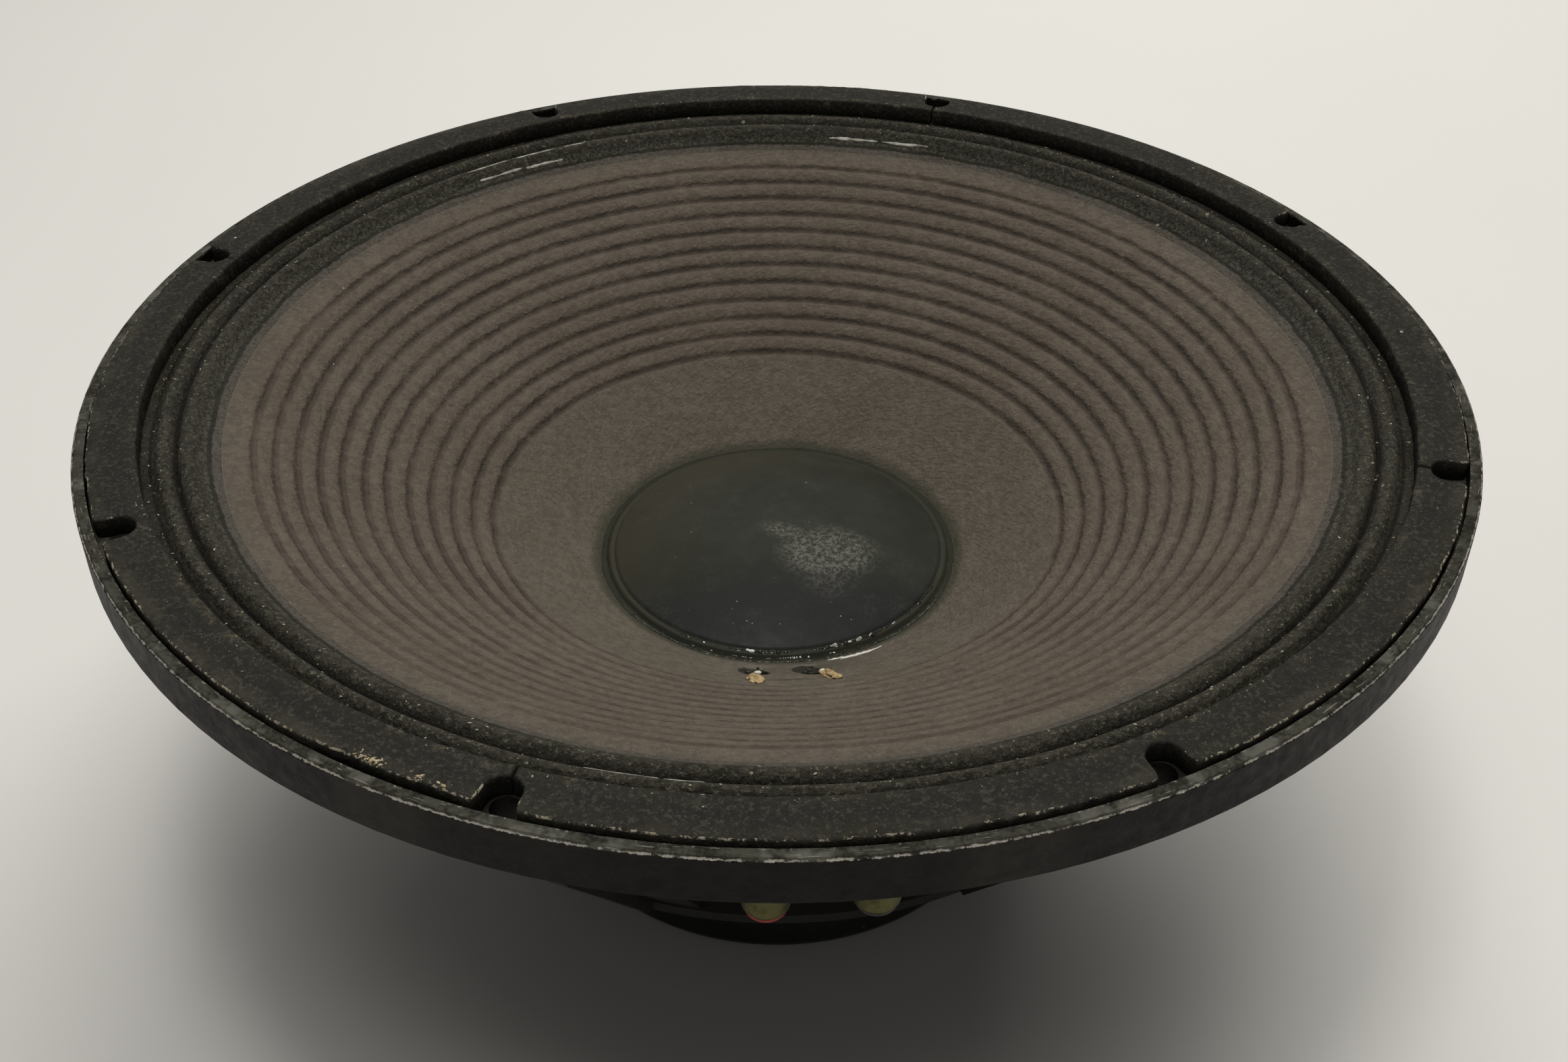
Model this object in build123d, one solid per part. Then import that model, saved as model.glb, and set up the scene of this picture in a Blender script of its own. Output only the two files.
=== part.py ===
"""A 15-inch class moving-coil loudspeaker driver, standing on the back of its magnet.

+Z is the driver's axis, pointing out of the cone. The origin is the centre of the magnet's back face.
The terminals are on the -Y side. Radii and heights are in millimetres. Heights named *_Z are above the back face.

Structure, from front to back: four gasket segments in the frame's rebated front flange, a two-roll
cloth surround, a ribbed paper cone with a domed dust cap, a corrugated spider, a voice coil on a
former, a top plate, a pole piece, a magnet slug and a cast return pot. Two spring-loaded push
terminals stand on a pad of the frame, and a tinsel lead runs from each to an eyelet in the cone.
"""
from build123d import *
import math
import os

os.makedirs("parts", exist_ok=True)

# ---------------------------------------------------------------- driving dimensions
OVERALL_R = 194.5          # outside radius of the front flange
FRONT_Z = 166.5            # height of the flange's front lip above the magnet's back face
LIP_IN_R = 191.2           # inside radius of the lip round the gasket
FLANGE_T = 13.4            # flange depth at its rim
SEAT_DROP = 4.2            # gasket seat below the lip
SHELF_DROP = 4.8           # surround shelf below the lip
SHELF_OUT_R = 181.0        # the surround's glued edge ends here
BOWL_IN_R = 173.0
BOWL_OUT_R = 177.0         # passes a 355 mm baffle cut-out
BOLT_PCD = 370.0
BOLT_COUNT = 8
BOLT_R = 3.6
BOLT_PHASE = 22.5          # degrees from +X

GASKET_OUT_R = 190.0
GASKET_IN_R = 177.5
GASKET_RISE = 1.6          # gasket's face above the lip
NOTCH_HALF = 4.4           # half width of the gasket's bolt notches
NOTCH_C_R = 185.3          # centre of each notch's round end
SEGMENT_GAP = 0.5          # between gasket segments

RIB_R = [85.5, 91.3, 96.9, 102.8, 108.8, 114.9, 120.5, 126.5, 132.2, 137.9, 143.6, 148.9]
RIB_DEPTH = 0.7            # groove depth of the cone's ribs
RIB_HALF = 1.5             # half width of a groove
CONE_SLOPE = 0.6007
CONE_REF_R = 148.9
CONE_REF_DROP = 11.8
CONE_EDGE_R = 160.6
CONE_T = 0.9
NECK_R = 51.25

CAP_R = 53.4
CAP_RISE = 11.5
CAP_T = 0.7

FORMER_IN_R = 50.8
FORMER_OUT_R = 51.2
COIL_OUT_R = 52.4
COIL_TOP_DROP = 107.0
COIL_BOTTOM_DROP = 127.0
FORMER_BOTTOM_DROP = 128.0

SPIDER_DROP = 84.0
SPIDER_OUT_R = 93.0
SPIDER_T = 0.5

PLATE_TOP_DROP = 112.0
PLATE_T = 10.0
PLATE_BORE_R = 53.4
POT_OUT_R = 76.0
POT_IN_R = 62.0
POT_FLOOR = 12.0
POLE_R = 49.9
SLUG_R = 43.0
SCREW_R = 2.95
SCREW_PITCH_R = 69.0
SCREW_COUNT = 8

TERM_R = 145.0             # terminals' distance from the axis
TERM_HALF = 13.7           # half their spacing
PAD_DROP = 42.4            # rear face of the terminal pad
PAD_T = 4.0
CAP_OUT_R = 6.2


def Z(drop):
    """Height of a point given by how far it lies below the flange's lip."""
    return FRONT_Z - drop


def rev(points, arc=360.0, start=0.0):
    """Solid of revolution about Z of a closed outline of (radius, height) points."""
    face = Face(Wire.make_polygon([(r, 0, z) for r, z in points], close=True))
    solid = revolve(face, Axis.Z, arc)
    return Rot(0, 0, start) * solid if start else solid


def cyl(r, z0, z1, x=0.0, y=0.0):
    return Pos(x, y, (z0 + z1) / 2) * Cylinder(r, z1 - z0)


def polar(shape, count, phase=0.0):
    return [Rot(0, 0, phase + 360.0 / count * k) * shape for k in range(count)]


def save(name, shape):
    solids = list(shape.solids()) if hasattr(shape, "solids") else list(shape)
    export_step(solids[0] if len(solids) == 1 else Compound(children=solids), f"parts/{name}.step")


def save_many(name, shapes):
    solids = [s for sh in shapes for s in sh.solids()]
    export_step(Compound(children=solids), f"parts/{name}.step")


def cone_z(r, lift=0.0):
    """Height of the cone's front face at radius r, without ribs."""
    if r <= CONE_REF_R:
        return Z(CONE_REF_DROP + CONE_SLOPE * (CONE_REF_R - r)) + lift
    return Z(CONE_REF_DROP - 0.36 * (r - CONE_REF_R)) + lift


# ---------------------------------------------------------------- basket frame
flange = rev([
    (BOWL_IN_R, Z(SHELF_DROP)), (SHELF_OUT_R, Z(SHELF_DROP)), (SHELF_OUT_R, Z(SEAT_DROP)),
    (LIP_IN_R, Z(SEAT_DROP)), (LIP_IN_R, Z(0.0)), (OVERALL_R - 0.8, Z(0.0)), (OVERALL_R, Z(0.8)),
    (OVERALL_R, Z(FLANGE_T - 0.6)), (OVERALL_R - 0.6, Z(FLANGE_T)), (BOWL_OUT_R, Z(FLANGE_T)),
    (BOWL_OUT_R - 1.0, Z(24.0)), (170.0, Z(26.0)), (BOWL_IN_R - 1.0, Z(18.0)),
])
# A spoke is a curved skin with a stiffening fin behind it.
OUTER = [(175.4, 16.0), (171.0, 33.0), (160.5, 48.0), (138.0, 76.5), (115.5, 106.0)]
INNER = [(171.4, 16.0), (167.2, 31.5), (157.3, 45.6), (134.8, 74.0), (112.3, 103.5)]
skin = rev([(r, Z(d)) for r, d in OUTER] + [(r, Z(d)) for r, d in reversed(INNER)], 16.0, -8.0)
# The fin stands outside the skin, so the inside of the bowl stays clear of the cone.
fin_pts = [(172.6, 24.0), (169.0, 33.0), (159.0, 47.0), (136.5, 75.5), (112.0, 106.5), (119.0, 107.5), (142.0, 78.0), (164.5, 49.5), (174.6, 34.5), (176.2, 24.0)]
fin = Pos(0, 2.5, 0) * extrude(Face(Wire.make_polygon([(r, 0, Z(d)) for r, d in fin_pts], close=True)), 5.0, dir=(0, -1, 0))
# Spider landing, cup and foot that bolts to the top plate.
landing = rev([
    (84.5, Z(85.0)), (96.0, Z(85.0)), (96.0, Z(82.5)), (99.5, Z(82.5)), (113.0, Z(100.5)), (117.5, Z(104.5)), (117.5, Z(107.5)),
    (112.5, Z(112.0)), (57.5, Z(112.0)), (57.5, Z(106.5)), (84.5, Z(106.5)),
])
frame = flange
for s in polar(skin, 8, BOLT_PHASE):
    frame = frame + s
for f in polar(fin, 8, BOLT_PHASE):
    frame = frame + f
frame = frame + landing
# Cooling windows through the cup, between the foot and the spider landing.
window = Pos(94.0, 0, Z(95.0)) * Box(34.0, 22.0, 11.0)
for w in polar(window, 8, 0.0):
    frame = frame - w
# Terminal pad in the window on the -Y side, carried by a web from the bowl's lower edge.
pad = Pos(0, -TERM_R - 2.0, Z(PAD_DROP - PAD_T / 2)) * Box(48.0, 22.0, PAD_T)
web = rev([(172.8, Z(20.0)), (175.6, Z(22.0)), (167.5, Z(PAD_DROP)), (155.0, Z(PAD_DROP)), (155.0, Z(PAD_DROP - PAD_T)),
           (164.0, Z(PAD_DROP - PAD_T)), (170.6, Z(25.0))], 18.0, -99.0)
frame = frame + pad + web
for x in (-TERM_HALF, TERM_HALF):
    frame = frame - cyl(3.2, Z(PAD_DROP + 1), Z(PAD_DROP - PAD_T - 1), x, -TERM_R)
for k in range(BOLT_COUNT):
    a = math.radians(BOLT_PHASE + 360 / BOLT_COUNT * k)
    frame = frame - cyl(BOLT_R, Z(FLANGE_T + 2), Z(-1), BOLT_PCD / 2 * math.cos(a), BOLT_PCD / 2 * math.sin(a))
for k in range(SCREW_COUNT):
    a = math.radians(360 / SCREW_COUNT * k)
    frame = frame - cyl(SCREW_R + 0.25, Z(113), Z(105), SCREW_PITCH_R * math.cos(a), SCREW_PITCH_R * math.sin(a))
save("basket_frame", frame)

# ---------------------------------------------------------------- gasket segments
ring = rev([
    (GASKET_IN_R, Z(SEAT_DROP)), (GASKET_OUT_R, Z(SEAT_DROP)), (GASKET_OUT_R, Z(-GASKET_RISE + 0.4)),
    (GASKET_OUT_R - 0.4, Z(-GASKET_RISE)), (GASKET_IN_R + 0.3, Z(-GASKET_RISE)), (GASKET_IN_R, Z(-GASKET_RISE + 0.3)),
], 90.0)
half_gap = math.degrees(SEGMENT_GAP / 2 / 184.0)
for k, name in enumerate(("a", "b", "c", "d")):
    start = BOLT_PHASE - 45.0 + 90.0 * k       # joints pass through every second bolt
    seg = Rot(0, 0, start) * ring
    for a in (start, start + 45.0, start + 90.0):
        notch = cyl(NOTCH_HALF, Z(8), Z(-6), NOTCH_C_R, 0) + Pos(NOTCH_C_R + 5, 0, Z(1)) * Box(10.0, 2 * NOTCH_HALF, 14.0)
        seg = seg - Rot(0, 0, a) * notch
    for a, side in ((start, 1), (start + 90.0, -1)):
        seg = seg - Rot(0, 0, a) * (Pos(184.0, 0, Z(1)) * Box(30.0, SEGMENT_GAP, 14.0))
    save(f"gasket_segment_{name}", seg)

# ---------------------------------------------------------------- surround, two rolls of doped cloth
ST = 0.6
top = [(180.6, 4.2), (174.2, 4.2), (173.6, 3.5), (172.7, 2.5), (171.6, 2.1), (170.5, 2.5), (169.5, 3.7), (168.8, 5.2), (168.3, 5.6),
       (167.8, 5.0), (166.9, 3.7), (165.6, 2.9), (164.2, 3.1), (163.0, 4.2), (162.1, 5.9), (161.4, 6.9), (160.4, 7.3), (157.0, 8.25)]
# The underside follows the roll at the cloth's thickness.
under = []
for i, (r, d) in enumerate(top):
    a = top[max(0, i - 1)]
    b = top[min(len(top) - 1, i + 1)]
    t = math.hypot(b[0] - a[0], b[1] - a[1])
    nx, nd = -(b[1] - a[1]) / t, (b[0] - a[0]) / t
    if nd < 0:
        nx, nd = -nx, -nd
    under.append((r + nx * ST, d + nd * ST))
under[0] = (180.6, 4.2 + ST)
under[-1] = (157.0, 8.25 + ST)
surround = rev([(r, Z(d)) for r, d in top] + [(r, Z(d)) for r, d in reversed(under)])
save("surround", surround)

# ---------------------------------------------------------------- cone with concentric ribs
front = [(NECK_R, cone_z(NECK_R))]
for r in RIB_R:
    front += [(r - RIB_HALF, cone_z(r - RIB_HALF)), (r, cone_z(r) - RIB_DEPTH), (r + RIB_HALF, cone_z(r + RIB_HALF))]
front += [(156.6, cone_z(156.6)), (156.9, Z(8.25 + ST) - 0.05), (CONE_EDGE_R, Z(7.25 + ST) - 0.05)]
back = [(CONE_EDGE_R, Z(7.25 + ST) - 0.05 - CONE_T), (156.9, cone_z(156.6) - 1.3), (150.4, cone_z(150.4) - 1.1)]
for r in reversed(RIB_R):
    back += [(r, cone_z(r) - RIB_DEPTH - 0.9), (r - RIB_HALF - 1.0, cone_z(r - RIB_HALF - 1.0) - 1.0)]
back += [(NECK_R, cone_z(NECK_R) - 1.1)]
cone = rev(front + back)
# Two lead holes through the cone near the neck.
EYE_R = 65.0
EYE_ANGLES = (-99.3, -85.6)       # degrees from +X
eyes = []
for deg in EYE_ANGLES:
    a = math.radians(deg)
    eyes.append((EYE_R * math.cos(a), EYE_R * math.sin(a)))
for x, y in eyes:
    cone = cone - cyl(1.55, cone_z(EYE_R) - 8, cone_z(EYE_R) + 8, x, y)
save("cone", cone)

# ---------------------------------------------------------------- dust cap and its bead of adhesive
cap_z = cone_z(CAP_R)
n = 14
RC = (CAP_R ** 2 + CAP_RISE ** 2) / (2 * CAP_RISE)
outer = []
for i in range(n + 1):
    r = CAP_R * i / n
    outer.append((r, cap_z + 0.75 + math.sqrt(RC ** 2 - r ** 2) - (RC - CAP_RISE)))
inner = [(r, z - CAP_T) for r, z in outer]
cap = rev(outer + [(CAP_R, cap_z + 0.1)] + list(reversed(inner[:-1])))
save("dust_cap", cap)
bead = rev([(CAP_R + 0.1, cone_z(CAP_R + 0.1) + 0.05), (CAP_R + 2.4, cone_z(CAP_R + 2.4) + 0.05), (CAP_R + 1.7, cone_z(CAP_R + 1.7) + 0.7),
            (CAP_R + 0.7, cone_z(CAP_R + 0.7) + 0.95), (CAP_R + 0.1, cone_z(CAP_R + 0.1) + 0.7)])
save("dust_cap_bead", bead)

# ---------------------------------------------------------------- voice coil
save("voice_coil_former", rev([(FORMER_IN_R, Z(FORMER_BOTTOM_DROP)), (FORMER_OUT_R, Z(FORMER_BOTTOM_DROP)),
                               (FORMER_OUT_R, cone_z(NECK_R) + 0.4), (FORMER_IN_R, cone_z(NECK_R) + 0.4)]))
save("voice_coil_winding", rev([(FORMER_OUT_R, Z(COIL_BOTTOM_DROP)), (COIL_OUT_R, Z(COIL_BOTTOM_DROP)),
                                (COIL_OUT_R, Z(COIL_TOP_DROP)), (FORMER_OUT_R, Z(COIL_TOP_DROP))]))

# ---------------------------------------------------------------- spider
sp_top = [(FORMER_OUT_R + 0.05, SPIDER_DROP - 3.2), (FORMER_OUT_R + 0.6, SPIDER_DROP - 3.2), (FORMER_OUT_R + 1.2, SPIDER_DROP - 0.8),
          (54.5, SPIDER_DROP)]
r = 56.5
up = True
while r < 84.0:
    sp_top.append((r, SPIDER_DROP - (1.9 if up else -1.3)))
    r += 2.6
    up = not up
sp_top += [(85.5, SPIDER_DROP + 0.4), (SPIDER_OUT_R, SPIDER_DROP + 0.4)]
sp_bot = [(r0, d + 0.55) for r0, d in sp_top]
sp_bot[0] = (FORMER_OUT_R + 0.05, SPIDER_DROP + 0.55)
sp_bot[1] = (FORMER_OUT_R + 0.3, SPIDER_DROP + 0.55)
sp_bot[2] = (FORMER_OUT_R + 0.9, SPIDER_DROP + 0.55)
spider = rev([(a, Z(d)) for a, d in sp_top] + [(a, Z(d)) for a, d in reversed(sp_bot)])
save("spider", spider)

# ---------------------------------------------------------------- magnet structure
plate = rev([(PLATE_BORE_R, Z(PLATE_TOP_DROP + PLATE_T)), (POT_OUT_R, Z(PLATE_TOP_DROP + PLATE_T)),
             (POT_OUT_R, Z(PLATE_TOP_DROP)), (PLATE_BORE_R, Z(PLATE_TOP_DROP))])
pot = rev([(0, 0), (POT_OUT_R - 2.4, 0), (POT_OUT_R - 0.7, 0.7), (POT_OUT_R, 2.4), (POT_OUT_R, Z(PLATE_TOP_DROP + PLATE_T)),
           (POT_IN_R, Z(PLATE_TOP_DROP + PLATE_T)), (POT_IN_R, POT_FLOOR + 3.0), (POT_IN_R - 3.0, POT_FLOOR), (0, POT_FLOOR)])
pole = rev([(0, Z(PLATE_TOP_DROP + PLATE_T + 4)), (SLUG_R, Z(PLATE_TOP_DROP + PLATE_T + 4)), (POLE_R, Z(PLATE_TOP_DROP + PLATE_T)),
            (POLE_R, Z(PLATE_TOP_DROP) + 0.0), (POLE_R - 0.8, Z(PLATE_TOP_DROP) + 0.8), (0, Z(PLATE_TOP_DROP) + 0.8)])
slug = rev([(0, POT_FLOOR), (SLUG_R, POT_FLOOR), (SLUG_R, Z(PLATE_TOP_DROP + PLATE_T + 4)), (0, Z(PLATE_TOP_DROP + PLATE_T + 4))])
screws = []
for k in range(SCREW_COUNT):
    a = math.radians(360 / SCREW_COUNT * k)
    x, y = SCREW_PITCH_R * math.cos(a), SCREW_PITCH_R * math.sin(a)
    plate = plate - cyl(SCREW_R + 0.25, Z(PLATE_TOP_DROP + PLATE_T + 1), Z(PLATE_TOP_DROP - 1), x, y)
    pot = pot - cyl(SCREW_R + 0.05, Z(PLATE_TOP_DROP + PLATE_T + 14), Z(PLATE_TOP_DROP + PLATE_T - 1), x, y)
    shank = cyl(SCREW_R, Z(PLATE_TOP_DROP + PLATE_T + 12), Z(106.5), x, y)
    head = cyl(5.0, Z(106.5), Z(100.9), x, y)
    head = head - Pos(x, y, Z(101.5)) * extrude(RegularPolygon(2.9, 6), 4.0)
    screws.append(shank + head)
save("top_plate", plate)
save("magnet_pot", pot)
save("pole_piece", pole)
save("magnet_slug", slug)
save_many("frame_screws", screws)

# ---------------------------------------------------------------- coil lead-outs, eyelets and adhesive dabs on the cone
lead_outs, eyelets, dabs = [], [], []
slope_deg = math.degrees(math.atan(CONE_SLOPE))
for (x, y), ang in zip(eyes, EYE_ANGLES):
    # Flat wire on the cone's front face, from beside the cap's bead to the eyelet.
    strip = Pos(60.1, 0, cone_z(60.1) + 0.45) * Rot(0, -slope_deg, 0) * Box(4.9, 1.6, 0.5)
    lead_outs.append(Rot(0, 0, ang) * strip)
    # Rolled eyelet along the driver's axis, through the cone.
    z0 = cone_z(EYE_R)
    eye = cyl(1.45, z0 - 3.6, z0 + 1.3, x, y) + cyl(2.1, z0 + 1.3, z0 + 1.8, x, y) + cyl(2.1, z0 - 4.1, z0 - 3.6, x, y)
    eye = eye - cyl(0.8, z0 - 5, z0 + 3, x, y)
    eyelets.append(eye)
    # Dab of adhesive on the cone beside the eyelet.
    c = (EYE_R + 4.7)
    dab = Pos(c, 0, cone_z(c) + 0.45) * Rot(0, -slope_deg, 0) * Sphere(1.0)
    dab = Pos(c, 0, cone_z(c)) * Rot(0, -slope_deg, 0) * (Pos(0, 0, -0.9) * Sphere(2.3) & Pos(0, 0, 1.56) * Box(8, 8, 3.0))
    dabs.append(Rot(0, 0, ang) * dab)
save_many("coil_lead_outs", lead_outs)
save_many("lead_eyelets", eyelets)
save_many("eyelet_adhesive", dabs)

# ---------------------------------------------------------------- push terminals
# Each stands on the pad and points to the rear. The sleeve slides on the post against a spring, held on
# by a ring. Pressed towards the pad, its wire hole lines up with the post's.
T0 = Z(PAD_DROP)                 # pad's rear face
PRESS = 3.0                      # sleeve's travel
rings = []
for colour, x in (("red", -TERM_HALF), ("black", TERM_HALF)):
    y = -TERM_R
    post = cyl(2.3, T0 - 17.6, T0 + 15.0, x, y)
    post = post + cyl(5.6, T0 - 3.4, T0 - 2.0, x, y)              # shoulder
    post = post - Pos(x, y, T0 - 15.9) * Rot(0, 90, 0) * Cylinder(1.0, 12.0)   # wire hole
    post = post - (cyl(3.0, T0 - 14.2, T0 - 13.6, x, y) - cyl(2.0, T0 - 15.0, T0 - 13.0, x, y))   # ring groove
    save(f"terminal_post_{colour}", post)
    rings.append(cyl(3.6, T0 - 14.15, T0 - 13.65, x, y) - cyl(2.02, T0 - 15.0, T0 - 13.0, x, y))
    outer_washer = cyl(6.9, T0 - 2.0, T0, x, y) - cyl(2.35, T0 - 3, T0 + 1, x, y)
    inner_washer = cyl(6.0, T0 + PAD_T, T0 + PAD_T + 1.6, x, y) - cyl(2.35, T0 + 1, T0 + 9, x, y)
    spigot = cyl(3.1, T0, T0 + PAD_T, x, y) - cyl(2.35, T0 - 1, T0 + 9, x, y)
    save_many(f"terminal_insulators_{colour}", [outer_washer + spigot, inner_washer])
    lug = (cyl(4.6, T0 + PAD_T + 1.6, T0 + PAD_T + 2.4, x, y) + Pos(x, y + 7.0, T0 + PAD_T + 2.0) * Box(3.6, 10.0, 0.8)
           - cyl(2.35, T0, T0 + 12, x, y) - cyl(0.8, T0, T0 + 12, x, y + 10.4))
    save(f"terminal_lug_{colour}", lug)
    nut = Pos(x, y, T0 + PAD_T + 2.4) * extrude(RegularPolygon(4.6, 6), 3.6) - cyl(2.35, T0, T0 + 20, x, y)
    save(f"terminal_nut_{colour}", nut)
    # Sleeve: open towards the pad, closed by the coloured tip.
    sleeve = cyl(CAP_OUT_R, T0 - 25.6, T0 - 7.4, x, y) - cyl(4.9, T0 - 23.6, T0 - 7.0, x, y)
    sleeve = sleeve - cyl(4.1, T0 - 26.4, T0 - 23.0, x, y)
    collar = cyl(5.2, T0 - 13.2, T0 - 12.0, x, y) - cyl(2.36, T0 - 16, T0 - 11, x, y)
    sleeve = sleeve + collar
    edge = [e for e in sleeve.edges() if e.geom_type == GeomType.CIRCLE and abs(e.radius - CAP_OUT_R) < 0.01]
    sleeve = fillet(edge, 1.2)
    sleeve = sleeve - Pos(x, y, T0 - 15.9 - PRESS) * Rot(0, 90, 0) * Cylinder(1.2, 14.0)
    save(f"terminal_sleeve_{colour}", sleeve)
    tip = cyl(4.1, T0 - 25.8, T0 - 23.8, x, y) + cyl(4.9, T0 - 26.7, T0 - 25.6, x, y)
    tip_edge = [e for e in tip.edges() if e.geom_type == GeomType.CIRCLE and abs(e.radius - 4.9) < 0.01 and e.center().Z < T0 - 26.4]
    tip = fillet(tip_edge, 0.6)
    save(f"terminal_tip_{colour}", tip)
    coil_r, wire = 3.75, 0.35
    z_low, z_high = T0 - 11.5, T0 - 4.0
    path = Helix(pitch=(z_high - z_low) / 5.0, height=z_high - z_low, radius=coil_r)
    prof = Plane(origin=path @ 0, z_dir=path % 0) * Circle(wire)
    spring = Pos(x, y, z_low) * sweep(prof, path=path, is_frenet=True)
    save(f"terminal_spring_{colour}", spring)
save_many("terminal_retaining_rings", rings)

# ---------------------------------------------------------------- tinsel leads, terminal lug to cone eyelet
for colour, x, (ex, ey), side in (("red", -TERM_HALF, eyes[0], -1), ("black", TERM_HALF, eyes[1], 1)):
    z0 = cone_z(EYE_R)
    start = (x, -TERM_R + 10.4, T0 + PAD_T + 3.6)
    route = [start, (x, -TERM_R + 13.2, T0 - 0.5), (x * 1.03, -TERM_R + 18.5, T0 - 9.5), (x * 0.98, -TERM_R + 31.0, T0 - 17.0),
             (x * 0.88, -TERM_R + 46.5, T0 - 21.0), (x * 0.77, -TERM_R + 62.0, T0 - 27.0), (ex, ey - 5.5, z0 - 14.0), (ex, ey, z0 - 4.4)]
    pts = [Vector(*p) for p in route]
    radii = []
    for i in range(1, len(pts) - 1):
        a, b = pts[i] - pts[i - 1], pts[i + 1] - pts[i]
        turn = math.radians(a.get_angle(b))
        radii.append(0.45 * min(a.length, b.length) / math.tan(turn / 2))
    print(colour, "lead radii", [round(v, 1) for v in radii], "runs", [round((pts[i + 1] - pts[i]).length, 1) for i in range(len(pts) - 1)])
    line = FilletPolyline(*pts, radius=radii)
    prof = Plane(origin=line @ 0, z_dir=line % 0) * Circle(0.8)
    tube = sweep(prof, path=line)
    L = line.length
    print(colour, "lead length", round(L, 1), "volume ratio", round(tube.volume / (math.pi * 0.64 * L), 4))
    save(f"tinsel_lead_{colour}", tube)
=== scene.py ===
import bpy, bmesh, math, random
import numpy as np
from mathutils.bvhtree import BVHTree
from mathutils import Matrix, Vector, noise as mn


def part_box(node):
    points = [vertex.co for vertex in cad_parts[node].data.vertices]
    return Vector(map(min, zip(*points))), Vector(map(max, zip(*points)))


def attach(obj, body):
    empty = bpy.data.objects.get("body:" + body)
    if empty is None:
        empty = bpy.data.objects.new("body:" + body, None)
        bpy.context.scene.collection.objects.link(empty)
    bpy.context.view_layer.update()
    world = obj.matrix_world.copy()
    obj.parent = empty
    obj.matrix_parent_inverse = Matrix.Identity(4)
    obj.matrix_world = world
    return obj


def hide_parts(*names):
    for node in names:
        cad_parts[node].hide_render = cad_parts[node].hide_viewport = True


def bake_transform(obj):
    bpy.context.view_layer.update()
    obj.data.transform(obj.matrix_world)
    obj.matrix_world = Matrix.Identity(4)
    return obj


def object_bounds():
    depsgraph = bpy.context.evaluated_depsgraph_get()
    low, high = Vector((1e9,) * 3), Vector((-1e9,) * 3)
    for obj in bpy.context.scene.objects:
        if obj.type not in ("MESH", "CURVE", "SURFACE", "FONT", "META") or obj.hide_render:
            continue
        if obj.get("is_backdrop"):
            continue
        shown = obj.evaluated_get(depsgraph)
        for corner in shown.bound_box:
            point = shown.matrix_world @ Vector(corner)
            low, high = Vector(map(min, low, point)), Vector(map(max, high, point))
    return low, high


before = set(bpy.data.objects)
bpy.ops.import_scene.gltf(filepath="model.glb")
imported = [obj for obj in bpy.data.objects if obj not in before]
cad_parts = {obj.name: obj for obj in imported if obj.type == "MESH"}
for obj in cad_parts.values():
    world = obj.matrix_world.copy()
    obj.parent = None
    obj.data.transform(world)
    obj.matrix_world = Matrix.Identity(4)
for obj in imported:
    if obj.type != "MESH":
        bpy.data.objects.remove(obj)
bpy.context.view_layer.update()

# ------------------------------------------------------------------ sizes, in millimetres above the magnet's back face
MM = 0.001
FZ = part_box("basket_frame")[1].z * 1000          # the flange's lip
TAU = 2 * math.pi


def Z(drop):
    return FZ - drop


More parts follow.
